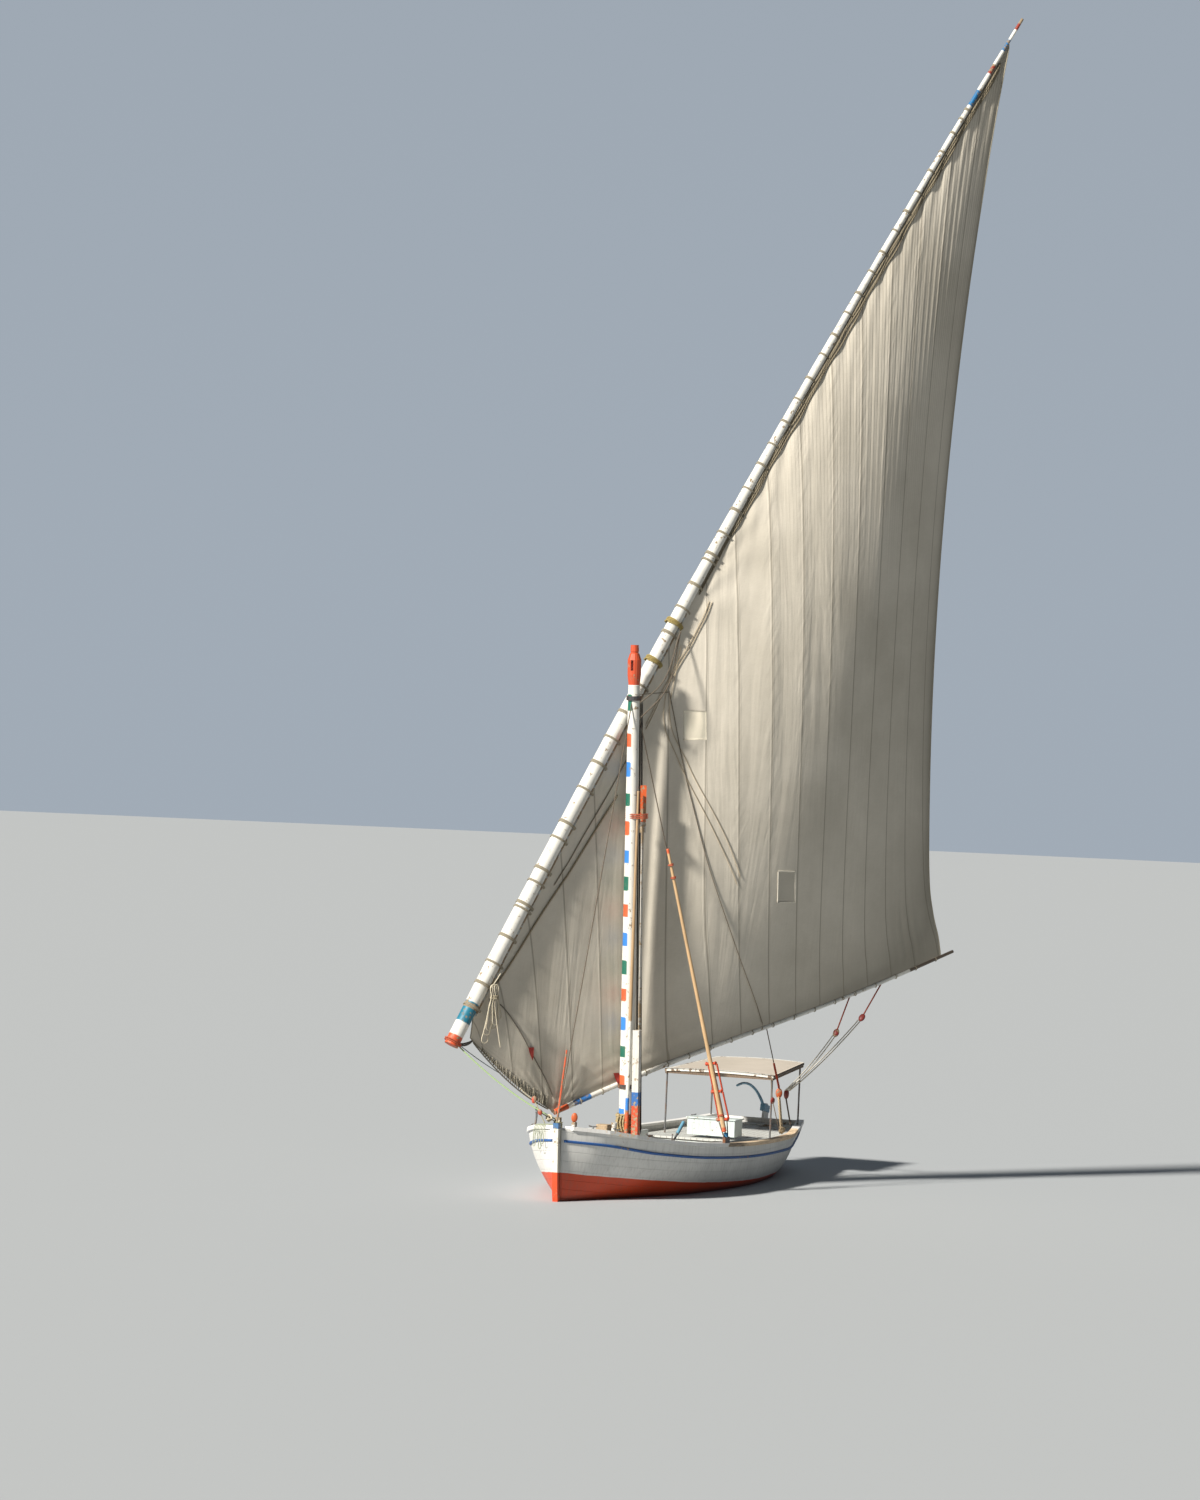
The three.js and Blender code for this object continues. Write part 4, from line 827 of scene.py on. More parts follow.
def laid_rope_group():
    """Three strands twisted together, from a map of metres round and along: the strand's
    height is |sin(pi * (along / lay + 3 * round / girth))|."""
    look = Group("laid_rope", {"Rope": (0.4, 0.35, 0.25, 1), "Lay": 0.03, "Girth": 0.04},
                 ["Color", "Height"])
    round_it, along, flat = look.split(look.uv())
    twist = look.math("MULTIPLY_ADD", look.math("DIVIDE", round_it, look.given["Girth"]), 3.0,
                      look.math("DIVIDE", along, look.given["Lay"]))
    strand = look.math("ABSOLUTE", look.math("SINE", look.math("MULTIPLY", twist, np.pi)))
    fuzz = look.noise(look.place(), 45, 5)
    toned = look.tint(look.given["Rope"], look.span(strand, 0, 1, 0.62, 1.05))
    return look.give(look.tint(toned, look.span(fuzz, 0, 1, 0.8, 1.18)),
                     look.math("MULTIPLY_ADD", fuzz, 0.25, strand))


laid_rope = laid_rope_group()


def rope_finish(name, color, radius):
    """A rope material whose strands fit a rope of the given radius."""
    look = Surface(name, 0.9)
    rope = look.group(laid_rope, Rope=color, Lay=radius * 3.4, Girth=2 * np.pi * radius)
    return look.finish(rope[0], None, rope[1], radius * 0.35)


def joined(name, parts, material):
    """Several ropes or bars made into one piece."""
    points, faces, uvs = zip(*parts)
    starts = np.cumsum([0] + [len(part) for part in points[:-1]])
    faces = [part + start for part, start in zip(faces, starts)]
    return mesh_piece(name, np.concatenate(points), np.concatenate(faces), material,
                      np.concatenate(uvs))


def rope_part(path, radius, sides=8):
    """A rope's points, quads and map. The ends taper to a point, which closes them, and the
    circles are carried along the path without a twist."""
    path = np.asarray(path, float)
    radii = np.full(len(path), radius)
    radii[[0, -1]] = radius * 0.02
    step = unit(np.gradient(path, axis=0))
    across = np.zeros_like(path)
    across[0] = np.cross(step[0], [0.31, 0.52, 0.79])
    for i in range(1, len(path)):
        across[i] = unit(across[i - 1] - step[i] * (across[i - 1] @ step[i]))
    across[0] = unit(across[0])
    a = np.linspace(0, 2 * np.pi, sides, endpoint=False)[None, :, None]
    points = path[:, None] + radii[:, None, None] * (
        np.cos(a) * across[:, None] + np.sin(a) * np.cross(step, across)[:, None])
    return points.reshape(-1, 3), *tube_skin(path, sides, radius)


def winding(middle, along, beside, size, turns, rope):
    """A rope wound round a spar: an oval of half sizes size about middle, stepping on by one
    rope's width a turn, with the last turn slanting back over the others."""
    along = unit(along)
    beside = unit(beside - along * (np.asarray(beside, float) @ along))
    other = np.cross(along, beside)
    a = np.linspace(0, 2 * np.pi * turns, int(20 * turns))
    place = (a / (2 * np.pi) - turns / 2) * rope * 2.05
    last = a > 2 * np.pi * (turns - 1)
    place[last] = np.interp(a[last], [a[last][0], a[-1]], [place[last][0], -turns * rope])
    lift = rope * 0.9 * last
    return (middle + along * place[:, None] + beside * ((size[0] + lift) * np.cos(a))[:, None]
            + other * ((size[1] + lift) * np.sin(a))[:, None])


def yard_lashings():
    """A winding at each place of LASHINGS, round the yard alone or the yard and its batten."""
    up_side = rig_point(yard_rise[0], 0.0, yard_rise[1]) - MAST_FOOT
    parts = []
    for k, along in enumerate(LASHINGS):
        t = along / YARD_LENGTH
        radius = float(faired(YARD_GIRTH, np.array(t), 1))
        grow = BATTEN_RADIUS + 0.002 if BATTEN_FROM < t < BATTEN_TO else 0.0
        rope = 0.0072 if t < 0.5 else 0.006
        size = (radius + grow + rope, radius + rope)
        direction = yard_point(t + 0.001) - yard_point(t - 0.001)
        turns = winding(yard_point(t, -grow), direction, up_side, size, 3 + k % 2, rope)
        parts.append(rope_part(turns, rope, 6))
    return parts


lashing_rope = rope_finish("lashing_rope", ROPE_TAN, 0.008)
settle(joined("yard_lashings", yard_lashings(), lashing_rope), "rig")


def boom_lashings():
    """Small windings every 0.42 m along the boom, but none at the mast."""
    parts = []
    for reach in np.arange(-0.75, 6.55, 0.42):
        if abs(reach) < 0.2:
            continue
        t = (reach - BOOM_TACK[0]) / BOOM_RUN[0]
        middle = boom_point(t)
        ahead = rig_point(reach + 0.1, BOOM_AWAY, boom_height(reach + 0.1))
        size = (tapered(BOOM_RADII, t) + 0.006,) * 2
        parts.append(rope_part(winding(middle, ahead - middle, MAST_UP, size, 2, 0.0045),
                               0.0045, 6))
    return parts


settle(joined("boom_lashings", boom_lashings(), lashing_rope), "rig")

# Sail: cotton duck in cloths 0.6 m wide, sewn edge to edge along lines that run with the leech,
# tabled and roped at its edges. It is sewn to the yard and laced to the boom, and its belly
# fills abaft the mast.
SAIL_THROAT, SAIL_CLEW, SAIL_HEAD, SAIL_TACK = -2.83, 6.50, 7.56, -1.30
SAIL_BELLY, SAIL_HOLLOW, CLEW_HOLLOW, MAST_SHARE = 0.62, 0.56, 0.235, 0.34
SAIL_THICK, SAIL_CLOTH, SAIL_FIRST_SEAM = 0.006, 0.0605, 0.429
SAILCLOTH = (0.66, 0.61, 0.52)
GATHERS = 9
yard_scan = np.linspace(-0.02, 1.02, 4000)
yard_scan_reach, yard_scan_up = yard_line(yard_scan)


def rise(value, start, width):
    """0 up to start, then straight to 1 over a width."""
    return np.clip((value - start) / width, 0, 1)


def bell(value, middle, width):
    """exp(-((value - middle) / width)^2)."""
    return np.exp(-((value - middle) / width)**2)


def wave(value):
    """sin(2 pi value)."""
    return np.sin(2 * np.pi * value)


def sail_skin(s, t):
    """The sail's middle surface. s runs from the throat to the leech, t from foot to head. Each
    cloth is a line from foot to head, moved forward by the leech's hollow, which is sharper just
    over the clew, and to one side by belly * sin(pi c^0.85) * sin(pi t)^0.8, with c counted from
    the mast."""
    reach = SAIL_THROAT + (SAIL_CLEW - SAIL_THROAT) * s
    ahead = np.clip((SAIL_TACK - reach) / (SAIL_TACK - SAIL_THROAT), 0, 1)
    loose = 1.33 + 1.23 * ahead - 0.09 * np.sin(np.pi * ahead)
    low = np.where(reach > SAIL_TACK, boom_height(reach), loose)
    high_reach = SAIL_THROAT + 0.09 + (SAIL_HEAD - SAIL_THROAT - 0.09) * s
    yard_t = np.interp(high_reach, yard_scan_reach, yard_scan)
    high = np.interp(high_reach, yard_scan_reach, yard_scan_up) - 0.04 - 0.02 * yard_t
    c = rise(s, MAST_SHARE, 1 - MAST_SHARE)
    belly = SAIL_BELLY * np.sin(np.pi * c**0.85) * np.sin(np.pi * np.clip(t, 0, 1))**0.8
    hollow = SAIL_HOLLOW * s**4 * 4 * t * (1 - t)
    hollow = hollow + CLEW_HOLLOW * s**6 * (1 - bell(t, 0, 0.05)) * np.clip(1 - t, 0, 1)**1.6
    off = BOOM_AWAY + 0.02 * ahead
    return rig_point(reach + (high_reach - reach) * t - hollow,
                     off + (YARD_AWAY - off) * t - belly, low + (high - low) * t)


def sail_folds(s, t):
    """How far cloth moves square to the sail: soft ripples along the cloths that fade towards
    the foot, tighter pleats by the leech under the peak, and creases that fan from the head,
    the foot, the tack and the clew."""
    cloths = (s - SAIL_FIRST_SEAM) / SAIL_CLOTH
    ripple = 0.0035 * np.sin(np.pi * cloths + 2.5 * t) * t**0.7 * (1 - t)**0.25
    pleats = 0.0022 * np.sin(2 * np.pi * cloths * 4.4 + 5 * t) * rise(s, 0.60, 0.2)
    pleats *= rise(t, 0.50, 0.25) * rise(1 - t, 0, 0.04)
    head = 0.016 * np.sin(2 * np.pi * cloths * 1.6 + 40 * (1 - t)) * np.exp(-(1 - t) / 0.045)
    head *= rise(s, 0.36, 0.1) * rise(1 - t, 0, 0.01)
    fan = 0.006 * np.sin(26 * np.arctan2(t - 1.02, s - 0.33)) * bell(s, 0.4, 0.16)
    fan *= rise(t, 0, 0.3) * rise(1 - t, 0, 0.05)
    foot = 0.010 * wave(t * 30 + 1.5 * s) * np.exp(-t / 0.035) * rise(t, 0, 0.012)
    tack = 0.014 * np.sin(34 * np.arctan2(t + 0.03, s - 0.165) + 3 * s)
    tack *= bell(s, 0.16, 0.05) * np.exp(-t / 0.12) * rise(t, 0, 0.01)
    clew = 0.010 * wave((s - 0.93 + 0.1 * t) / 0.020) * bell(s, 0.93, 0.025)
    return ripple + pleats + head + fan + foot + tack + clew * bell(t, 0.055, 0.035)


def sail_side(s, t, off):
    """Points off the sail's weather side, by its edge or anywhere on it."""
    return sail_skin(s, t) - RIG_AWAY * (sail_folds(s, t) + off)[..., None]


def cloth_sheet(name, points, away, thick, uv, material):
    """A thin closed sheet: the grid's points moved half the thickness each way along away, and
    a strip round the rim."""
    rows, columns = points.shape[:2]
    count = rows * columns
    layers = np.concatenate([(points - away * thick / 2).reshape(-1, 3),
                             (points + away * thick / 2).reshape(-1, 3)])
    quads = grid_faces(rows, columns)
    index = np.arange(count).reshape(rows, columns)
    shaded_rim = np.concatenate([index[0, :-1], index[:-1, -1], index[-1, :0:-1], index[:0:-1, 0]])
    after = np.roll(shaded_rim, -1)
    strip = np.stack([shaded_rim + count, after + count, after, shaded_rim], axis=1)
    faces = np.concatenate([quads, quads[:, ::-1] + count, strip])
    both = np.concatenate([uv.reshape(-1, 2)] * 2)
    return mesh_piece(name, layers, faces, material, both[faces.ravel()])


def weave_group():
    """Plain weave from a map in metres: over and under threads as the product of two sines,
    with slubs and a soft cloudy stain."""
    look = Group("plain_weave", {"Cloth": (0.5, 0.46, 0.38, 1), "Threads": 300.0, "Stain": 0.5},
                 ["Color", "Height"])
    place, given = look.uv(), look.given
    weave = look.math("MULTIPLY", *(
        look.math("SINE", look.math("MULTIPLY", part, given["Threads"]))
        for part in look.split(place)[:2]))
    slubs = look.noise(look.drawn(place, (9, 90, 1)), 1, 4)
    dull = look.span(look.noise(look.place(), 0.55, 6, 0.62), 0.35, 0.72)
    stained = look.mix(look.math("MULTIPLY", dull, given["Stain"]), given["Cloth"],
                       (0.30, 0.27, 0.205))
    return look.give(look.tint(stained, look.span(slubs, 0, 1, 0.93, 1.06)),
                     look.math("MULTIPLY_ADD", slubs, 0.8, weave))


plain_weave = weave_group()


def sail_finish():
    """Weave with a seam at each whole number of cloths: two stitched lines and a doubled strip
    between them, darker where dust has settled. Dirt along the foot and the leech's edge, and
    painted shade that darkens the lower cloth towards the leech and a band just under the yard;
    painted shade in the folds of the gathers where the cloth is pleated, and slanting puckers at
    the seams."""
    look = Surface("sailcloth", 0.92)
    seam, dirt_and_shade, pleat, pucker = (look.add("Attribute", attribute_name=name)["Fac"]
                                  for name in ("seam", "dirt_and_shade", "pleat", "pucker"))
    weave = look.group(plain_weave, Cloth=SAILCLOTH, Threads=900.0, Stain=0.42)
    away = look.off_centre(seam)
    stitched = look.math("MULTIPLY", look.span(away, 0.472, 0.486), 0.50)
    color = look.mix(stitched, weave["Color"], (0.15, 0.125, 0.09))
    folds = look.math("SINE", look.math("MULTIPLY", seam, 2 * np.pi * GATHERS))
    shaded_gathers = look.math("MULTIPLY", look.span(folds, 0.2, 1.0), pleat)
    # Painted shade in the troughs of the gathers.
    color = look.mix(look.math("MULTIPLY", shaded_gathers, 0.42), color, (0.26, 0.225, 0.17))
    # Dirt, and painted shade towards the leech and under the yard.
    color = look.mix(look.math("MULTIPLY", dirt_and_shade, 0.62), color, (0.17, 0.155, 0.12))
    creases = look.noise(look.drawn(look.uv(), (1.0, 0.16, 1)), 1.4, 4, 0.5, 0.6)
    broad = look.math("MULTIPLY_ADD", look.span(away, 0.44, 0.45), 0.04, creases)
    broad = look.math("MULTIPLY_ADD", shaded_gathers, -0.03, broad)
    slanted = look.add("Mapping", {"Vector": look.uv(), "Rotation": (0, 0, np.radians(52)),
                                   "Scale": (0.75, 0.115, 1)}, vector_type="TEXTURE")[0]
    strength = look.math("MULTIPLY", look.span(away, 0.16, 0.47, 0.0, 0.2), pucker)
    broad = look.math("MULTIPLY_ADD", look.noise(slanted, 1), strength, broad)
    fine = look.add("Bump", {"Height": weave["Height"], "Distance": 0.0006, "Strength": 0.5})[0]
    bump = look.add("Bump", {"Height": broad, "Distance": 0.09, "Strength": 0.6,
                             "Normal": fine})[0]
    look.tree.links.new(bump, look.shader["Normal"])
    return look.finish(color)


def sail_piece():
    """The sail as a thin closed sheet, with its cloth number, its dirt and painted shade, its
    pleats and its puckers on each point."""
    s, t = np.meshgrid(np.concatenate([np.linspace(0, 0.5, 121)[:-1], np.linspace(0.5, 1, 200)]),
                       np.concatenate([np.linspace(0, 0.12, 26)[:-1],
                                       np.linspace(0.12, 1, 125)]), indexing="ij")
    uv = np.stack([s * 9.8, t * 8.0 * (0.25 + s)], axis=-1)
    sheet = cloth_sheet("sail_sheet", sail_side(s, t, 0.0), RIG_AWAY, SAIL_THICK, uv,
                        sail_finish())
    fore = rise(0.40 - s, 0, 0.1)
    cloth = (s - SAIL_FIRST_SEAM + fore * (0.06 * t - 0.022)) / SAIL_CLOTH
    cut = 1.6 * np.exp(-t / 0.34) * (1 - 0.5 * rise(s, 0.65, 0.35)) - 0.45
    # Dirt along the foot and the leech's edge.
    dirt_and_shade = np.exp(-t / 0.035) + 0.9 * np.exp(-(1 - s) / 0.012)
    # Painted shade: a dark band just under the yard.
    dirt_and_shade += 1.1 * bell(1 - t, 0, 0.016) * np.clip((s - 0.30) / 0.2, 0.3, 1)
    # Painted shade: darker over the lower cloth towards the leech, where the belly turns from the
    # light.
    dirt_and_shade += 0.6 * rise(s, 0.62, 0.38)**1.5 * np.clip(1 - t * 0.8, 0, 1)
    layers = {"seam": cloth - cut * rise(s, 0.34, 0.12), "dirt_and_shade": np.clip(dirt_and_shade, 0, 1),
              "pleat": rise(s, 0.50, 0.22) * rise(t, 0.50, 0.34),
              "pucker": rise(s, 0.42, 0.08) * rise(t, 0.12, 0.2)}
    for name, values in layers.items():
        layer = sheet.data.attributes.new(name, "FLOAT", "POINT")
        layer.data.foreach_set("value", np.tile(values.ravel(), 2).astype(np.float32))
    return sheet


sail = settle(sail_piece(), "rig", "sail")


def woven(name, color, stain, depth, roughness=0.93):
    """A material of plain weave in one colour."""
    look = Surface(name, roughness)
    weave = look.group(plain_weave, Cloth=color, Threads=900.0, Stain=stain)
    return look.finish(weave[0], None, weave[1], depth)


def sail_patch(name, corners, color):
    """A patch sewn on the weather side: the four (s, t) corners blended, 5 mm off the cloth."""
    a, b = np.meshgrid(np.linspace(0, 1, 14), np.linspace(0, 1, 14), indexing="ij")
    a, b = a[..., None], b[..., None]
    p, q, r, w = (np.array(corner) for corner in corners)
    s, t = np.moveaxis((p * (1 - a) + q * a) * (1 - b) + (w * (1 - a) + r * a) * b, -1, 0)
    patch = cloth_sheet(name, sail_side(s, t, 0.005), RIG_AWAY, 0.003,
                        np.stack([s * 9.8, t * 9], axis=-1), woven(name, color, 0.3, 0.0008))
    return settle(patch, "rig")


pale_patch = sail_patch("pale_patch", [(0.379, 0.770), (0.419, 0.705), (0.421, 0.645),
                                       (0.381, 0.703)], (0.90, 0.83, 0.67))
SQUARE_PATCH = [(0.585, 0.261), (0.625, 0.238), (0.635, 0.186), (0.593, 0.206)]
square_patch = sail_patch("square_patch", SQUARE_PATCH, (0.55, 0.51, 0.43))


def sail_rope(name, edges, radius, color, thread=None):
    """Ropes sewn to the sail. thread is the radius that their strands are drawn for."""
    parts = [rope_part(edge, size) for edge, size in zip(edges, np.broadcast_to(
        radius, len(edges)))]
    finish = rope_finish(name + "_hemp", color, thread or radius)
    return settle(joined(name, parts, finish), "rig")


run = np.linspace(0, 1, 260)
bolt_rope = sail_rope("bolt_rope", [sail_side(run, 0 * run, 0.004),
                                    sail_side(1 + 0 * run, run, 0.004),
                                    sail_side(0 * run, run, 0.004)], 0.009, (0.42, 0.38, 0.29))
# Three rolls of gathered cloth under the yard, dark brown as painted shade.
head_s = np.linspace(0.40, 0.985, 300)
below = (1 - 0.55 * head_s) * 1.6
rolls = [sail_side(head_s, 1 - below * (0.009 + 0.0055 * k + 0.002 * np.sin(
    head_s * (41 + 13 * k))), 0.016) for k in range(3)]
head_roll = sail_rope("head_roll", rolls, [0.020, 0.017, 0.014], (0.22, 0.185, 0.125), 0.018)
corner_s, corner_t = np.array(SQUARE_PATCH + SQUARE_PATCH[:1]).T
along = np.linspace(0, 4, 81)
stitches = sail_side(np.interp(along, range(5), corner_s), np.interp(along, range(5), corner_t),
                     0.010)
patch_stitches = sail_rope("patch_stitches", [stitches], 0.006, (0.80, 0.76, 0.66))

# Standing rigging: a hemp forestay to the stem head, and one shroud on the port side that ends
# in a ladder of red ropes and three red wooden bars, lashed down to the iron eye on the rail.
STAY_DARK, TACKLE_RED = (0.15, 0.12, 0.09), (0.50, 0.060, 0.022)
SHROUD_RADIUS = 0.0088
LADDER = [(0.040, 0.125), (0.103, 0.115), (0.166, 0.110)]  # share of the shroud, half width


def hanging(a, b, sag=0.0, count=40):
    """A rope between two points: the straight line lowered by 4 * sag * t * (1 - t)."""
    t = np.linspace(0, 1, count)[:, None]
    return np.asarray(a) * (1 - t) + np.asarray(b) * t - np.array([0, 0, 4 * sag]) * t * (1 - t)


def through(points, count=60):
    """A round line through points: cubics whose slope at each point is the mean slope to its
    neighbours, cut at equal lengths."""
    points = np.asarray(points, float)
    place = lengths(points)
    slope = np.gradient(points, place, axis=0)
    at = np.linspace(0, place[-1], 6 * count)
    k = np.clip(np.searchsorted(place, at) - 1, 0, len(place) - 2)
    span = (place[k + 1] - place[k])[:, None]
    t = (at[:, None] - place[k][:, None]) / span
    line = cubic(t, span, points[k], points[k + 1], slope[k], slope[k + 1])
    even = np.linspace(0, lengths(line)[-1], count)
    return between(even, lengths(line), line)


def rope_piece(name, paths, radius, color, body, replaced=None, sides=8):
    """Ropes of one thickness and colour, riding a body if one is named."""
    piece = joined(name, [rope_part(path, radius, sides) for path in paths],
                   rope_finish(name + "_hemp", color, radius))
    if body:
        return settle(piece, body, replaced)
    return piece


stem_head = np.array([4.7475, 0.0, 1.2035])
rope_piece("forestay_rope", [hanging(stem_head, mast_point(0.0, 0.0, 8.06), 0.02, 80)],
           SHROUD_RADIUS, STAY_DARK, "hull", "forestay")
shroud_low = np.array([1.080, 1.478, 0.899])
shroud_high = mast_point(0.0, 0.0, 8.04)
rope_piece("shroud_rope", [hanging(shroud_low, shroud_high, 0.0, 120)], SHROUD_RADIUS,
           STAY_DARK, "hull", "shroud")
shroud_run = shroud_high - shroud_low
shroud_side = unit(np.cross(shroud_run, PORT))
shroud_side = unit(0.35 * shroud_side - 0.94 * np.cross(shroud_side, unit(shroud_run)))
bar_red = painted("bar_red", TACKLE_RED, wear=0.2)
turned = np.linspace(-1, 1, 40)
bar_radii = 0.022 + 0.010 * bell(turned, 0, 0.35) + 0.012 * bell(abs(turned), 0.9, 0.08)
for share, half in LADDER:
    across = shroud_low + shroud_run * share + shroud_side * (half * turned)[:, None]
    settle(bar_piece(f"shroud_bar_{round(share * 1000)}", across, bar_radii, 14, bar_red), "hull")
ladder_ropes, foot_ropes = [], []
for k in (-0.85, 0.0, 0.85):
    holds = [shroud_low + shroud_run * share + shroud_side * half * k + [0, 0.024, 0]
             for share, half in LADDER]
    ladder_ropes += [hanging(*ends) for ends in zip(holds[:-1], holds[1:])]
    foot_ropes.append(hanging(shroud_low + shroud_run * 0.040 + shroud_side * 0.11 * k,
                              shroud_low + [0.10 * k, 0.0, 0.0] - [0, 0, 0.03]))
rope_piece("ladder_ropes", ladder_ropes, 0.015, TACKLE_RED, "hull")
rope_piece("ladder_foot_ropes", foot_ropes, 0.010, STAY_DARK, "hull")
blue_turns = winding(shroud_low + shroud_run * 0.006, shroud_run, [1, 0, 0], (0.034, 0.026), 5,
                     0.008)
rope_piece("shroud_foot_lashing", [blue_turns], 0.008, (0.05, 0.24, 0.46), "hull")

# Running rigging on the rig: the topping lift and the brails of thin tan line that lie against
# the sail, two thicker brails over its fore part, and the halyard's parts above its head.


def on_sail(places, off, count=70):
    """A line over the weather side of the sail through (s, t) places."""
    s, t = through(np.column_stack([np.array(places), np.zeros(len(places))]), count)[:, :2].T
    return sail_side(s, t, off)


lift_line = np.concatenate([
    hanging(rig_point(0.02, -0.115, 8.0), sail_skin(0.352, 0.86) - RIG_AWAY * 0.022, 0, 12)[:-1],
    on_sail([(0.352, 0.86), (0.399, 0.553), (0.449, 0.341), (0.524, 0.149), (0.604, 0.003)],
            0.022, 90)])
long_lines = [[(0.37, 0.93), (0.355, 0.825), (0.39, 0.64), (0.485, 0.355), (0.505, 0.30)],
              [(0.36, 0.95), (0.345, 0.83), (0.372, 0.68), (0.45, 0.42), (0.50, 0.29)]]
short_lines = [[(0.420, 0.925), (0.405, 0.91), (0.355, 0.895), (0.31, 0.87)],
               [(0.425, 0.915), (0.408, 0.90), (0.358, 0.883), (0.31, 0.858)]]
rope_piece("sail_brails", [on_sail(line, 0.018, 90) for line in long_lines]
           + [on_sail(line, 0.016, 60) for line in short_lines], 0.006, (0.52, 0.43, 0.30), "rig")
rope_piece("topping_lift", [lift_line], 0.0075, (0.22, 0.185, 0.14), "rig")
thick_brail = on_sail([(0.037, 0.730), (0.119, 0.800), (0.192, 0.806), (0.262, 0.802)], 0.02)
rope_piece("brail_ropes", [thick_brail], 0.016, (0.34, 0.28, 0.19), "rig")
thin_brail = on_sail([(0.142, 0.845), (0.190, 0.852), (0.249, 0.855), (0.290, 0.87)], 0.015)
rope_piece("thin_brail", [thin_brail], 0.009, (0.27, 0.23, 0.17), "rig")
halyard_knot = yard_point(0.385, -0.13, -0.10)
halyard_ways = [((0.03, -0.12, 7.86), (0.35, -0.16, 8.10)),
                ((0.05, -0.12, 7.62), (0.45, -0.17, 8.0))]
rope_piece("halyard_parts", [through([rig_point(*low), rig_point(*high), halyard_knot])
                             for low, high in halyard_ways], 0.010, (0.16, 0.13, 0.095), "rig")
knot_turns = [winding(yard_point(t, -0.015), yard_point(t + 0.002) - yard_point(t), MAST_UP,
                      (0.150, 0.126), 4, 0.012) for t in (0.352, 0.388)]
rope_piece("halyard_strops", knot_turns, 0.012, (0.36, 0.28, 0.10), "rig")

# Foot of the sail's fore part: a dark foot rope between the throat and the tack, laced to the
# cloth with pale cord in a zigzag, and straps that hold the throat to the yard's heel.
foot_s = np.linspace(0.004, 0.158, 90)
foot_hang = 0.016 + 0.045 * np.sin(np.pi * (foot_s - 0.004) / 0.154)**0.6
foot_line = sail_side(foot_s, 0 * foot_s, 0.014) - MAST_UP * foot_hang[:, None]
laced = np.linspace(0.020, 0.156, 70)
cloth_side = sail_side(laced, 0.036 + 0.010 * np.sin(laced * 900), 0.009)
rope_side = between(laced, foot_s, foot_line)
zigzag = np.where((np.arange(70) % 2 == 0)[:, None], cloth_side, rope_side)
rope_piece("foot_rope", [foot_line], 0.011, (0.20, 0.175, 0.14), "rig")
rope_piece("foot_lacing", [zigzag], 0.0065, (0.72, 0.66, 0.52), "rig", sides=6)
heel_low = yard_point(0.004, -0.10)
throat, tail_end = sail_side(np.array([0.004, 0.062]), np.zeros(2), 0.012)
rope_piece("throat_strap", [hanging(heel_low, throat, sag) for sag in (0.02, 0.05)], 0.014,
           (0.13, 0.115, 0.10), "rig")
rope_piece("heel_tail", [hanging(heel_low, tail_end - MAST_UP * 0.05, 0.02, 60)], 0.007,
           (0.16, 0.19, 0.20), "rig")

# Halyard tackle: three dark hemp parts from the sheave down behind the post, made fast in a thick
# khaki bundle round the mast's foot, with a cord hitch that holds the oar and the spare pole.
fall = [hanging(mast_point(-0.11 - 0.012 * k, 0.03 + 0.03 * k, 7.9),
                mast_point(-0.135 - 0.02 * k, 0.135 + 0.026 * k, 0.87), 0.0, 90)
        for k in range(3)]
rope_piece("halyard_falls", fall, 0.013, (0.055, 0.047, 0.04), "hull")
mast_coils = [winding(mast_point(0.0, 0.0, 0.99 + 0.045 * k), MAST_UP, MAST_AHEAD,
                      (0.142 + 0.010 * (k % 2),) * 2, 2, 0.014) for k in range(6)]
over_coils = [(0.155, -0.06, 1.24), (0.185, -0.08, 1.08), (0.165, -0.05, 0.94)]
mast_coils += [through([mast_point(ahead, port + 0.05 * k, up) for ahead, port, up in over_coils],
                       24) for k in range(4)]
rope_piece("mast_foot_bundle", mast_coils, 0.016, (0.42, 0.33, 0.18), "hull")
hitch = [winding(mast_point(-0.01, 0.082, 6.02 + 0.03 * k), MAST_UP, PORT,
                 (0.185, 0.115), 2, 0.006) for k in range(3)]
rope_piece("pole_hitch", hitch, 0.006, (0.42, 0.10, 0.05), "hull")
punt_hitch = [winding(punt_foot + (punt_head - punt_foot) * share, punt_head - punt_foot, PORT,
                      (0.037, 0.037), 3, 0.007) for share in (0.90, 0.945, 0.06)]
rope_piece("punt_pole_hitch", punt_hitch, 0.007, (0.50, 0.12, 0.06), "hull")

# Canopy: a light board of painted planks over the stern, covered with cream canvas and edged
# with white battens, on a bare wooden frame and four thin iron posts.
CANOPY_FORE, CANOPY_AFT = (-2.50, 0.960, 1.655), (-4.56, 0.795, 1.785)
CANOPY_THICK, CANOPY_RISE, CANOPY_EDGE, CANOPY_SAG = 0.042, 0.028, 0.030, 0.006
UP = np.array([0.0, 0.0, 1.0])


def canopy_skin(along, across, lift):
    """The roof's surface. along runs from fore to aft and across from -1 to 1; the crown is
    rise * (1 - across^2), and the canvas sags between the edge battens."""
    fore, aft = np.array(CANOPY_FORE), np.array(CANOPY_AFT)
    place = fore + (aft - fore) * along[..., None]
    y = across * (place[..., 1] + CANOPY_EDGE)
    sag = CANOPY_SAG * np.sin(np.pi * along) * np.cos(np.pi * across / 2)
    z = place[..., 2] + lift + CANOPY_RISE * (1 - across**2) - sag * (lift > 0)
    return np.stack([place[..., 0], y, z], axis=-1)


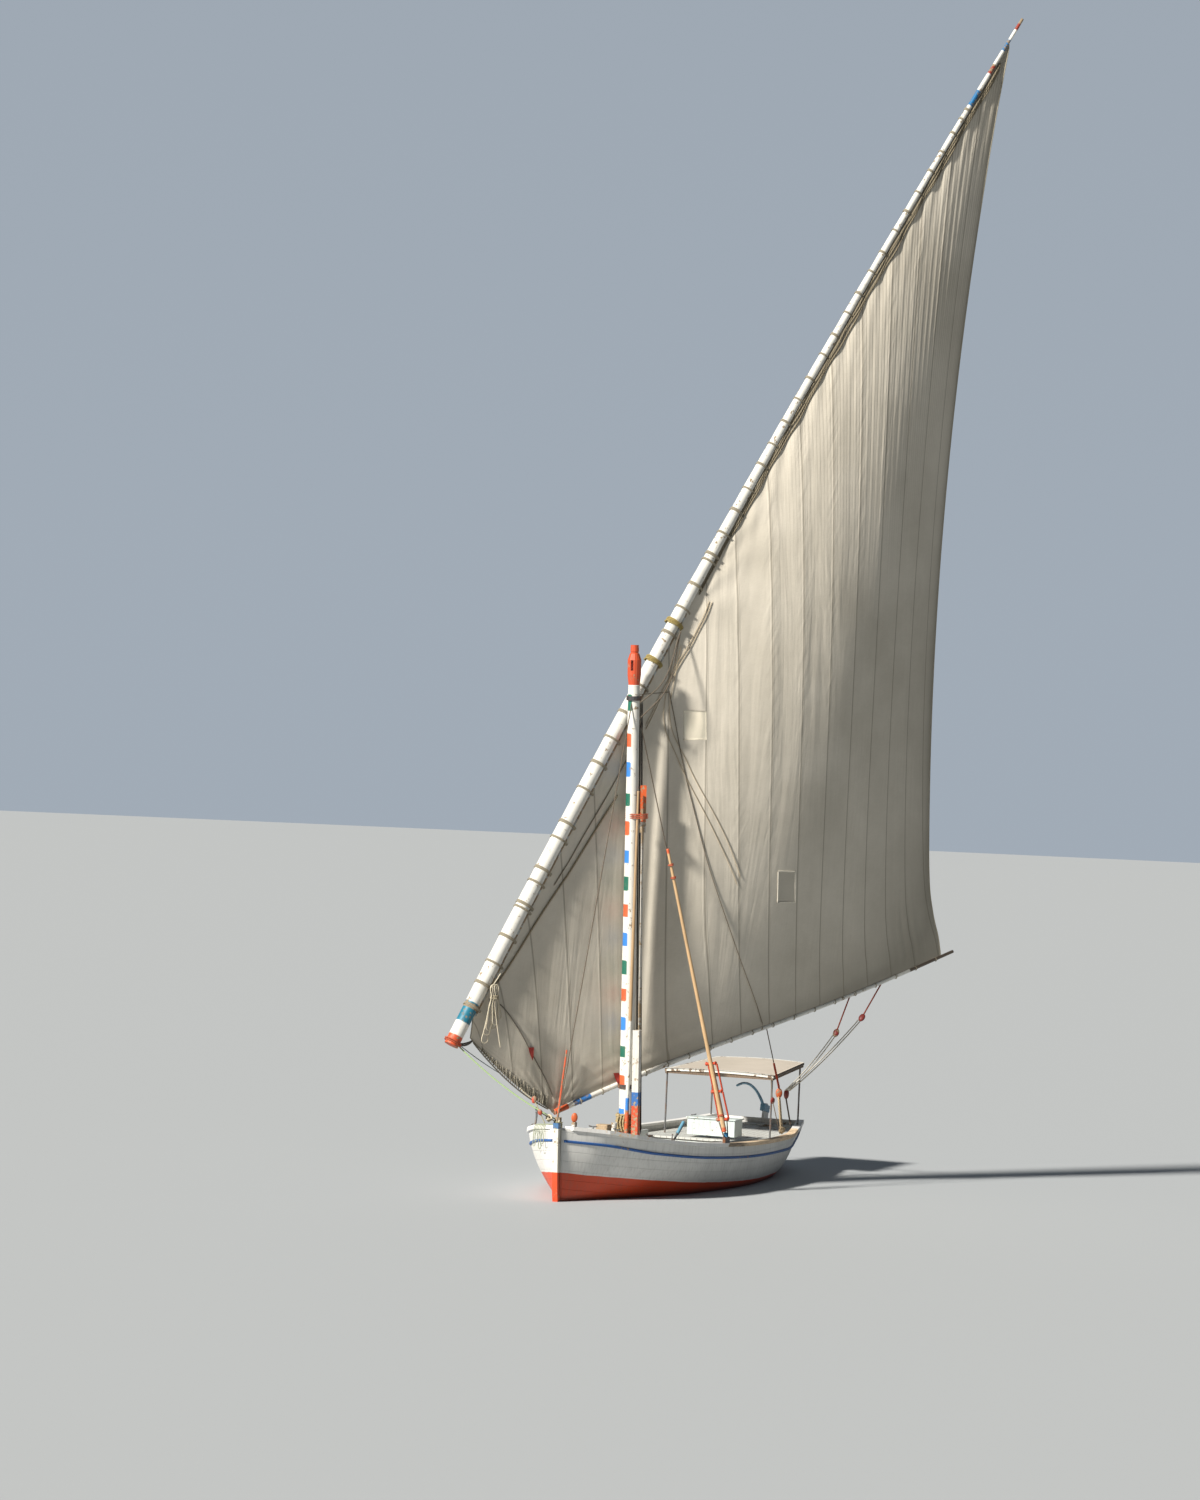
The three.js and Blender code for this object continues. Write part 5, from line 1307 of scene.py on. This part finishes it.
def canopy_finish():
    """Cream canvas on top, with white peeling battens within 90 mm of the fore, aft and starboard
    edges, dark bare wood with painted shade on the sides and below, and white paint on the two
    ends."""
    look = Surface("canopy_finish", 0.85)
    along, across, flat = look.split(look.uv())
    from_middle = look.math("ABSOLUTE", look.math("ADD", along, -1.03))
    batten = look.math("MAXIMUM", look.span(across, -0.875, -0.882),
                       look.span(from_middle, 0.945, 0.952))
    canvas = look.group(plain_weave, Cloth=(0.56, 0.50, 0.43), Threads=700.0, Stain=0.45)
    white = look.group(worn_paint, Paint=(0.66, 0.65, 0.60), Wood=(0.16, 0.11, 0.075),
                       Wear=0.24, Dirt=0.3)
    # Faces that don't look up are dark: painted shade on bare wood.
    facing = look.split(look.add("NewGeometry")["Normal"])
    end_face = look.span(look.math("ABSOLUTE", facing[0]), 0.5, 0.6)
    shaded_rim = look.mix(end_face, (0.11, 0.085, 0.065), white["Color"])
    top = look.mix(batten, canvas["Color"], white["Color"])
    return look.finish(look.mix(look.span(facing[2], 0.4, 0.6), shaded_rim, top), None,
                       canvas["Height"], 0.0002)


def canopy_board():
    """The roof as a closed board: its top and underside grids and the strip round the rim."""
    along, across = np.meshgrid(np.linspace(0, 1, 60), np.linspace(-1, 1, 50), indexing="ij")
    top, under = canopy_skin(along, across, CANOPY_THICK), canopy_skin(along, across, 0.0)
    half = (top - under)[..., 2:3] / 2
    uv = np.stack([along * 2.06, across * 0.95], axis=-1)
    return cloth_sheet("canopy_board", (top + under) / 2, half * UP, 2.0, uv, canopy_finish())


settle(canopy_board(), "hull", "canopy_roof")
dress(["canopy_frame"], bare_boards("frame_wood", (0.20, 0.14, 0.09), (0.10, 0.07, 0.05), 5.0))
post_iron = iron_finish("post_iron", (0.17, 0.175, 0.18), (0.14, 0.08, 0.05))
dress(["canopy_post_fore_port", "canopy_post_fore_starboard", "canopy_post_aft_port",
       "canopy_post_aft_starboard"], post_iron)

# Rudder and tiller: a white and red plank blade, and an arched tiller of bent iron in worn
# light-blue paint.
dress(["rudder"], backbone_paint("rudder_paint", WHITE_PAINT))
dress(["tiller"], painted("tiller_blue", (0.20, 0.40, 0.56), (0.09, 0.08, 0.075), 0.2, 0.3))

# Mainsheet: two pendants on the boom end in blocks, and their falls come together in a red
# block on a strop at the port quarter. The vang is a thicker tackle from the boom's middle to
# the port rail, with an orange strop and block.
SHEET_BLOCK, VANG_BLOCK = np.array([-3.73, 0.80, 1.335]), np.array([-2.21, 1.20, 1.43])
VANG_EYE = np.array([-2.06, 1.335, 0.735])


def boom_at(reach, under=0.05):
    """A point under the boom at a reach along it."""
    return rig_point(reach, BOOM_AWAY, boom_height(np.array(reach)) - under)


def block_piece(name, middle, along, size, material, body):
    """A wooden pulley block: an egg of sections, flattened to its shell's width, with a groove
    for the strop round its long way. Radius is size * sqrt(1 - t^2) * (1 - 0.14 groove)."""
    along = unit(along)
    wide = unit(np.cross(along, [0.35, 0.2, 0.91]))
    thin = np.cross(along, wide)
    t = np.sin(np.linspace(-0.999, 0.999, 34) * np.pi / 2)[:, None]
    a = np.linspace(0, 2 * np.pi, 28, endpoint=False)[None, :]
    groove = 1 - 0.14 * np.exp(-(np.sin(a) / 0.25)**2)
    swell = size * np.sqrt(np.clip(1 - t**2, 0.0004, 1)) * groove
    points = (np.asarray(middle) + along * (t * size)[..., None]
              + wide * (0.72 * swell * np.cos(a))[..., None]
              + thin * (0.46 * swell * np.sin(a))[..., None])
    settle(mesh_piece(name, points, grid_faces(34, 28, around=True), material), body)


def crossing_rope(name, paths, radius, color, end):
    """Ropes that run from the hull to the rig, fixed where they hang and put on no body."""
    piece = rope_piece(name, paths, radius, color, None)
    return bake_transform(piece)


red_block = painted("block_red", (0.20, 0.022, 0.018), wear=0.18)
orange_block = painted("block_orange", (0.56, 0.11, 0.03), wear=0.2)
pendants = [(4.61, 4.29, 2.29), (5.27, 4.82, 2.52)]  # reach on the boom; block's reach and height
falls, pendant_lines = [], []
for k, (reach, low_reach, low_up) in enumerate(pendants):
    block_middle = rig_point(low_reach, BOOM_AWAY - 0.06, low_up)
    pendant_lines.append(hanging(boom_at(reach, 0.0), block_middle, 0.0, 20))
    block_piece(f"sheet_block_{k + 1}", block_middle, boom_at(reach) - block_middle, 0.075,
                red_block, "rig")
    for gap in (-0.03, 0.03):
        falls.append(hanging(SHEET_BLOCK + [0.0, gap + 0.02 * k, 0.03],
                             block_middle + RIG_BACK * gap, 0.06, 60))
rope_piece("sheet_pendants", pendant_lines, 0.012, (0.34, 0.07, 0.04), "rig")
crossing_rope("sheet_falls", falls, 0.010, (0.62, 0.58, 0.50),
              rig_point(4.5, BOOM_AWAY, 2.4))
block_piece("sheet_block_low", SHEET_BLOCK - [0.02, 0.0, 0.02], [0.35, 0.1, 0.9], 0.095,
            red_block, "hull")
rope_piece("sheet_strop", [hanging(SHEET_BLOCK - [0.0, 0.0, 0.08], [-3.66, 0.93, 0.79], 0.0)],
           0.013, (0.13, 0.10, 0.08), "hull")
vang_top = boom_at(2.90, 0.0)
vang_low = VANG_BLOCK + [0, 0, 0.08]
vang_eye = vang_low + 0.42 * (vang_top - vang_low)
for name, low, high, count, radius, color in (
        ("vang_line", vang_eye, vang_top, 60, 0.009, STAY_DARK),
        ("vang_strop", vang_low, vang_eye, 30, 0.019, TACKLE_RED)):
    crossing_rope(name, [hanging(low, high, 0.0, count)], radius, color, vang_top)
block_piece("vang_block", VANG_BLOCK, [0.0, 0.0, 1.0], 0.085, orange_block, "hull")
tail_block = np.array([-2.30, 1.06, 1.29])
block_piece("tail_block", tail_block, [0.3, 0.1, 1.0], 0.060, red_block, "hull")
rope_piece("tail_ropes", [hanging([-2.50, 0.945, 1.64], tail_block, 0.0, 16),
                          hanging(tail_block, VANG_EYE + [0.04, -0.02, 0.02], 0.0, 30)],
           0.008, STAY_DARK, "hull")
vang_falls = [hanging(VANG_EYE + [0.03 * k, 0, 0.02], VANG_BLOCK + [0.025 * k, 0, -0.05], 0, 30)
              for k in (-1, 0, 1)]
vang_falls.append(winding(VANG_EYE + [0, 0, 0.11], [0, 0, 1], [1, 0, 0], (0.045, 0.030), 4, 0.013))
rope_piece("vang_falls", vang_falls, 0.017, (0.66, 0.50, 0.31), "hull")

# Heel rope: pale green rope that holds the yard's heel down to the bow bitt, and a brail tackle
# beside it with two small orange blocks.
RAIL_RISE, BITT_ROPE = 0.038, (0.42, 0.40, 0.24)
bitt_top = np.array([4.17, -0.215, 1.20])
heel_eye = yard_point(0.003, -0.115)
heel_line = hanging(bitt_top + [0.02, -0.01, 0.03], heel_eye, 0.10, 60)
crossing_rope("heel_rope", [heel_line], 0.011, (0.36, 0.50, 0.24), heel_eye)
heel_turns = [winding(yard_point(0.003 + 0.0013 * k), yard_point(0.02) - yard_point(0.01),
                      MAST_UP, (0.130, 0.130), 1.5, 0.011) for k in range(2)]
rope_piece("heel_turns", heel_turns, 0.009, (0.50, 0.10, 0.045), "rig")
bitt_turns = [winding(bitt_top + [0, 0, 0.035 * k - 0.08], [0, 0, 1], [1, 0, 0],
                      (0.060, 0.060), 3, 0.009) for k in range(3)]
rope_piece("bitt_turns", bitt_turns, 0.009, BITT_ROPE, "hull")
dress(["bow_bitt"], painted("bitt_cream", (0.62, 0.56, 0.42), wear=0.34, dirt=0.5))


def rail_point(x, side, inward=0.0, up=0.0):
    """A point on the cap rail's top at a station, moved in from the planking and up."""
    s = np.linspace(0, 1, 400)
    edge = hull_skin(s, np.ones(400), side)[::-1]
    y = np.interp(x, edge[:, 0], edge[:, 1])
    z = np.interp(x, edge[:, 0], edge[:, 2])
    return np.array([x, y - side * inward, z + RAIL_RISE + up])


low_block, high_block = np.array([4.45, -0.41, 1.35]), np.array([4.45, -0.52, 1.54])
bow_red = painted("bow_block_red", (0.52, 0.085, 0.045), wear=0.3)
block_piece("bow_block_low", low_block, [0.5, 0.2, 0.84], 0.056, bow_red, "hull")
block_piece("bow_block_high", high_block, [0.0, 0.1, 1.0], 0.060, bow_red, "hull")
rope_piece("bow_block_ropes", [
    hanging(rail_point(4.40, -1, 0.03), high_block, 0.0, 20),
    hanging(bitt_top + [0.03, -0.03, 0.0], low_block, 0.0, 20),
    hanging(low_block, high_block, 0.0, 12)], 0.008, BITT_ROPE, "hull")
luff_low = sail_skin(np.array(0.10), np.array(0.0))
crossing_rope("bow_tackle", [hanging(high_block, luff_low, 0.02, 50)], 0.008, (0.40, 0.36, 0.26),
              luff_low)

# Breasthook and stern margin: white boards that close the hull under the rails, where the
# foredeck stops behind the stem and the stern deck stops before the transom.


def margin_board(name, xs, drop, thick):
    """A board as wide as the space inside the planking between two stations."""
    x = np.linspace(*xs, 12)
    edge = np.array([rail_point(place, 1, 0.06, -RAIL_RISE - drop) for place in x])
    across = np.linspace(-1, 1, 9)
    points = np.stack([np.broadcast_to(edge[:, :1], (12, 9)), edge[:, 1:2] * across,
                       np.broadcast_to(edge[:, 2:], (12, 9))], axis=-1)
    board = cloth_sheet(name, points, UP, thick, points[..., :2],
                        painted(name + "_white", (0.60, 0.61, 0.58), wear=0.15))
    board.data.polygons.foreach_set("use_smooth", [False] * len(board.data.polygons))
    settle(board, "hull")


margin_board("breasthook", (4.33, 4.60), 0.022, 0.034)
margin_board("stern_margin", (-4.56, -4.40), 0.085, 0.022)

# Bow gear on the rail: a bent iron pipe that keeps the anchor rope off the planking, a white
# chock with an orange fender block, iron cleats, a wooden chock and a bollard on the foredeck.
pipe_foot = rail_point(3.95, -1, 0.03, -0.002)
pipe_line = through([pipe_foot, pipe_foot + [0.0, 0.02, 0.16], pipe_foot + [0.05, 0.035, 0.27],
                     pipe_foot + [0.13, 0.07, 0.285], pipe_foot + [0.18, 0.09, 0.23]], 48)
grey_iron = iron_finish("grey_iron", (0.30, 0.32, 0.33), (0.16, 0.09, 0.05))
settle(bar_piece("bow_pipe", pipe_line, 0.017, 16, grey_iron), "hull")


def chock_piece(name, low, high, material, round_by=0.012):
    """A block of wood standing on a deck, with its edges worn round by a bevel."""
    corner = np.array([[x, y, z] for z in (low[2], high[2]) for y in (low[1], high[1])
                       for x in (low[0], high[0])])
    faces = np.array([[0, 2, 3, 1], [4, 5, 7, 6], [0, 1, 5, 4], [2, 6, 7, 3], [0, 4, 6, 2],
                      [1, 3, 7, 5]])
    chock = mesh_piece(name, corner, faces, material, smooth=False)
    bevel = chock.modifiers.new("worn_edges", "BEVEL")
    bevel.width, bevel.segments = round_by, 3
    settle(chock, "hull")


worn_white = painted("chock_white", WHITE_PAINT, wear=0.3)
pale_wood = bare_boards("chock_wood", (0.50, 0.38, 0.24), (0.28, 0.20, 0.13), 0.5)
stand = rail_point(4.52, 1, 0.035)
chock_piece("fender_chock", stand - [0.05, 0.03, 0.0], stand + [0.05, 0.03, 0.075], worn_white)
block_piece("fender_block", stand + [0, 0, 0.145], [0.1, 0.1, 1.0], 0.075, orange_block, "hull")
FOREDECK_Z = 0.985
chock_piece("deck_chock", (3.47, 0.22, FOREDECK_Z), (3.66, 0.42, 1.165), pale_wood,
            0.016)
bollard = hanging([3.12, 0.32, FOREDECK_Z - 0.02], [3.12, 0.32, 1.165])
settle(bar_piece("deck_bollard", bollard, 0.042 + 0.010 * np.linspace(-1, 1, 40)**2, 20,
                 worn_white), "hull")


def cleat_piece(name, middle, along, half):
    """An iron horn cleat: a bar bowed 12 mm, tapered to its ends, on a foot."""
    t = np.linspace(-1, 1, 30)[:, None]
    horns = middle + unit(along) * t * half + UP * (0.032 + 0.012 * t**2)
    foot = hanging(middle - UP * 0.002, middle + UP * 0.036, 0.0, 8)
    settle(joined(name, [rope_part(horns, 0.011, 10), rope_part(foot, 0.017, 10)], grey_iron),
           "hull")


for k, (x, side) in enumerate([(4.30, 1), (3.95, 1), (3.35, 1), (3.70, -1), (-3.94, 1),
                               (-3.94, -1)]):
    there = rail_point(x, side, 0.03)
    cleat_piece(f"rail_cleat_{k + 1}", there, rail_point(x + 0.1, side, 0.03) - there, 0.075)

# Bow rope: one length of pale green rope, made fast on the bitt and hung in loops over the
# starboard bow to dry.
LOOP_DROPS, LOOP_FROM, LOOP_STEP = (0.30, 0.22, 0.34, 0.26), 4.26, 0.085
LOOP_HALF, TURN, INNER_TURN = 0.0215, 0.036, 0.030


def bow_rope_path():
    """From the bitt to the rail, then four loops that weave over it: a long one outside the
    planking and a short one inside, each round an arc that is wider than its two parts."""
    line = [bitt_top + [0.03, -0.04, -0.06], bitt_top + [0.05, -0.06, -0.085]]
    over = [(0.128, -0.030), (0.105, 0.0), (0.060, 0.013), (0.0, 0.014), (-0.045, 0.002),
            (-0.068, -0.045), (-0.074, -0.11)]
    arc = np.linspace(np.pi, 2 * np.pi, 9)
    for k, drop in enumerate(LOOP_DROPS):
        x = LOOP_FROM + LOOP_STEP * k
        out = 0.074 + 0.014 * (k % 2)
        for inward, up in over:
            line.append(rail_point(x - LOOP_HALF, -1, inward, up))
        line.append(rail_point(x - 0.029, -1, -out, -0.75 * drop))
        for a in arc:
            line.append(rail_point(x + TURN * np.cos(a), -1, -out, -drop + TURN * np.sin(a)))
        line.append(rail_point(x + 0.029, -1, -out, -0.75 * drop))
        for inward, up in over[::-1]:
            line.append(rail_point(x + LOOP_HALF, -1, inward, up))
        for a in arc if k < 3 else []:
            line.append(rail_point(x + LOOP_STEP / 2 + INNER_TURN * np.cos(a), -1, 0.133,
                                   -0.090 + INNER_TURN * np.sin(a)))
    return through(line, 600)


bow_line = bow_rope_path()
bow_rope = rope_piece("bow_rope", [bow_line], 0.006, (0.36, 0.40, 0.28), "hull")
bow_knot = [winding([4.30, -0.315, 1.262], along, [1, 0.2, 0.1], (0.042, 0.030), 2, 0.012)
            for along in ([0, 1, 0.3], [0.2, 0.3, 1], [1, 0.1, 0.4])]
rope_piece("bow_knot", bow_knot, 0.012, (0.66, 0.58, 0.42), "hull")

# Hank: the spare end of the heel rope, folded into loops and hitched below the yard. The loops
# fan out below the band, and the end hangs free.
HANK_LOOPS = [(-0.15, 0.80), (-0.07, 0.60), (-0.11, 0.68), (0.01, 0.52), (-0.03, 0.58),
              (0.06, 0.44), (0.13, 0.95)]
HANK_TOP, HANK_WIDE, HANK_BAND = 3.36, 0.060, 0.14


def hank_path():
    """Each loop goes down, round its fold and up again: half its width is wide * (1 - 0.45 *
    exp(-((depth - band) / 0.07)^2)), and below the band it leans aside by its own amount."""
    line = [yard_point(0.068, -0.105, -0.18), rig_point(-2.50, 0.075, 3.44)]
    for k, (aside, drop) in enumerate(HANK_LOOPS):
        middle, off = -2.53 + 0.012 * k, 0.045 + 0.020 * (k % 3)
        depth = np.linspace(0, drop, 9)
        half = HANK_WIDE * (1 - 0.45 * bell(depth, HANK_BAND, 0.07))
        lean = middle + aside * np.clip((depth - HANK_BAND) / (drop - HANK_BAND), 0, 1)**1.3
        line.extend(rig_point(lean - half, off, HANK_TOP - depth))
        if k == 6:
            break
        fold = np.linspace(np.pi, 2 * np.pi, 9)[1:-1]
        line.extend(rig_point(middle + aside + HANK_WIDE * np.cos(fold), off + 0.006,
                              HANK_TOP - drop + HANK_WIDE * np.sin(fold)))
        line.extend(rig_point(lean + half, off + 0.012, HANK_TOP - depth)[::-1])
        over = np.linspace(0, np.pi, 9)[1:-1]
        next_off = 0.045 + 0.020 * ((k + 1) % 3)
        line.extend(rig_point(middle + 0.012 * over / np.pi + HANK_WIDE * np.cos(over),
                              off + 0.012 + (next_off - off - 0.012) * over / np.pi,
                              HANK_TOP + HANK_WIDE * np.sin(over)))
    return through(line, 900)


hank_line = hank_path()
hank = rope_piece("yard_hank", [hank_line], 0.0085, (0.66, 0.59, 0.45), "rig")
hank_band = winding(rig_point(-2.495, 0.072, HANK_TOP - HANK_BAND), MAST_UP, RIG_BACK,
                    (0.066, 0.046), 5, 0.008)
rope_piece("hank_band", [hank_band], 0.008, (0.40, 0.35, 0.25), "rig")

# Pennants: two small red cotton flags, one on the fore brail, a dark line down the sail's fore
# part, and one at the boom by the mast.


def pennant_piece(name, top, width, drop):
    """A flag that hangs from its wide end and narrows by 0.85 t towards the other, with a ripple
    of 12 mm * t * sin(2 pi t + 2 a). a runs across it and t down."""
    a, t = np.meshgrid(np.linspace(-0.5, 0.5, 12), np.linspace(0, 1, 24), indexing="ij")
    reach, off, up = top
    ripple = 0.012 * np.sin(2 * np.pi * t + 2 * a) * t
    points = rig_point(reach + a * width * (1 - 0.85 * t) + 0.03 * t, off + ripple, up - t * drop)
    flag = cloth_sheet(name, points, RIG_AWAY, 0.003, np.stack([a * width, t * drop], axis=-1),
                       woven(name + "_cotton", (0.42, 0.03, 0.025), 0.15, 0.0006, 0.9))
    settle(flag, "rig")


pennant_piece("brail_pennant", (-1.71, 0.205, 2.36), 0.11, 0.21)
pennant_piece("boom_pennant", (-0.06, 0.195, 1.86), 0.15, 0.20)
brail_low = on_sail([(0.045, 0.535), (0.085, 0.32), (0.120, 0.18), (0.165, 0.05)], 0.02, 90)
rope_piece("fore_brail", [brail_low], 0.009, (0.17, 0.15, 0.12), "rig")

# Stern gear: a white locker seat with a lid before the tiller, and an old iron bar with a blue
# grip that leans on the centreboard case.
DECK_Z = 0.640
clean_white = painted("locker_white", (0.58, 0.66, 0.65), wear=0.14, dirt=0.3)
chock_piece("locker_seat", (-2.40, -0.36, DECK_Z), (-2.02, 0.50, 0.915), clean_white,
            0.006)
chock_piece("locker_lid", (-2.42, -0.38, 0.918), (-2.00, 0.52, 0.942), clean_white,
            0.005)
lean_low, lean_high = np.array([0.95, 0.05, -0.150]), np.array([-0.85, 0.01, 0.930])
settle(bar_piece("iron_bar", hanging(lean_low, lean_high), 0.019, 16, grey_iron), "hull")
grip = bar_piece("bar_grip", hanging(lean_high + 0.16 * (lean_low - lean_high), lean_high),
                 0.030, 20, painted("grip_blue", (0.14, 0.34, 0.48), wear=0.2))
settle(grip, "hull")

# Soft goods: two long bench mattresses, two filled sacks and a rolled mat, all cotton covers
# stuffed with straw or cotton waste, blown up by a cloth simulation inside their own space.
STRIPE_STEP = 0.085


def canvas_finish(name, cloth, stain, stripe=None):
    """Plain-woven cotton with slubs and dust, mapped by the object's own place. A stripe colour
    makes it ticking, with stripes along the boat where sin(2 pi y / step) is positive."""
    look = Surface(name, 0.93)
    place = look.place()
    dust = look.span(look.noise(place, 5, 6, 0.6), 0.4, 0.7, 0.0, stain)
    turn = look.math("MULTIPLY", look.split(place)[1], 2 * np.pi / STRIPE_STEP)
    band = look.span(look.math("SINE", turn), 0.15, 0.30)
    color = look.mix(dust, look.mix(band, cloth, stripe or cloth), (0.20, 0.17, 0.13))
    return look.finish(color, None, look.noise(place, 260), 0.001)


def swollen(piece, voxel, cap, pressure=4.0):
    """Voxel remesh, then cloth pressure for twenty frames; no point moves further than cap."""
    remesh = piece.modifiers.new("remesh", "REMESH")
    remesh.mode, remesh.voxel_size, remesh.use_smooth_shade = "VOXEL", voxel, True
    piece.data = bpy.data.meshes.new_from_object(
        piece.evaluated_get(bpy.context.evaluated_depsgraph_get()))
    piece.modifiers.clear()
    count = len(piece.data.vertices)
    start = np.empty(count * 3)
    piece.data.vertices.foreach_get("co", start)
    moved = start.copy()
    cloth = piece.modifiers.new("cloth", "CLOTH")
    cloth.settings.use_pressure = True
    cloth.settings.uniform_pressure_force = pressure
    cloth.settings.effector_weights.gravity = 0
    for frame_number in range(1, 21):
        bpy.context.scene.frame_set(frame_number)
    blown = piece.evaluated_get(bpy.context.evaluated_depsgraph_get()).to_mesh()
    blown.vertices.foreach_get("co", moved)
    piece.modifiers.clear()
    bpy.context.scene.frame_set(1)
    shift = (moved - start).reshape(-1, 3)
    far = np.linalg.norm(shift, axis=1, keepdims=True)
    return start.reshape(-1, 3) + shift * np.minimum(1, cap / np.maximum(far, 1e-9))


def stuffed(name, low, high, material, slot, replaced=None, tufts=None, voxel=0.016, cap=0.010,
            waist=0.0, ends=14, corner=0.72):
    """A filled cover in a box's space: it swells, its top is drawn in by tufts of
    10 mm * exp(-(d / 50 mm)^2), and it is flat where it rests."""
    low, high = np.array(low, float), np.array(high, float)
    shrink = np.array([cap, cap, cap * 0.8])
    middle, half = (low + high) / 2, (high - low) / 2 - shrink
    ring = np.linspace(0, 2 * np.pi, 40, endpoint=False)
    square = np.maximum(np.abs(np.cos(ring)), np.abs(np.sin(ring)))**corner
    along = np.sin(np.linspace(-1, 1, 42) * np.pi / 2)[:, None]
    taper = np.clip(1 - np.abs(along)**ends, 0.02, 1)**0.5 * (1 - waist * along**2)
    points = np.stack([middle[0] + half[0] * along + 0 * ring,
                       middle[1] + half[1] * taper * np.cos(ring) / square,
                       middle[2] + half[2] * taper * np.sin(ring) / square], axis=-1)
    sides = grid_faces(42, 40, around=True)[:, ::-1]
    piece = mesh_piece(name, points, sides, material)
    piece.data.validate()
    points = swollen(piece, voxel, cap)
    if tufts:
        for x in np.arange(low[0] + 0.2, high[0] - 0.1, tufts):
            for y in (low[1] + (high[1] - low[1]) * 0.3, low[1] + (high[1] - low[1]) * 0.7):
                near = np.exp(-((points[:, 0] - x)**2 + (points[:, 1] - y)**2) / 0.05**2)
                points[:, 2] -= 0.010 * near * (points[:, 2] > middle[2])
    points = np.clip(points, low, high)
    piece.data.vertices.foreach_set("co", points.ravel())
    piece.data.materials.clear()
    piece.data.materials.append(material)
    piece.data.polygons.foreach_set("use_smooth", [True] * len(piece.data.polygons))
    soft = piece.modifiers.new("soft_skin", "SUBSURF")
    soft.levels = soft.render_levels = 1
    settle(piece, "hull", replaced)


striped = canvas_finish("mattress_cotton", (0.42, 0.37, 0.29), 0.35, (0.30, 0.055, 0.035))
for side in ("port", "starboard"):
    stuffed(f"mattress_{side}_cover", *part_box("mattress_" + side), striped, "mattress",
            "mattress_" + side, tufts=0.34, ends=90, corner=0.94)
sackcloth = canvas_finish("sackcloth", (0.55, 0.47, 0.34), 0.4)
stuffed("grain_sack", (0.46, 0.60, 0.346), (0.94, 1.05, 0.985), sackcloth, "sailcloth",
        voxel=0.02, cap=0.016, waist=0.25)
stuffed("sail_sack", (-0.62, 0.62, 0.346), (-0.02, 1.04, 0.70), sackcloth, "sailcloth",
        voxel=0.02, cap=0.016, waist=0.3)
stuffed("rolled_mat", (-4.24, 0.38, 0.805), (-3.54, 0.62, 1.045),
        canvas_finish("mat_canvas", (0.10, 0.115, 0.125), 0.3), "mattress", voxel=0.014)
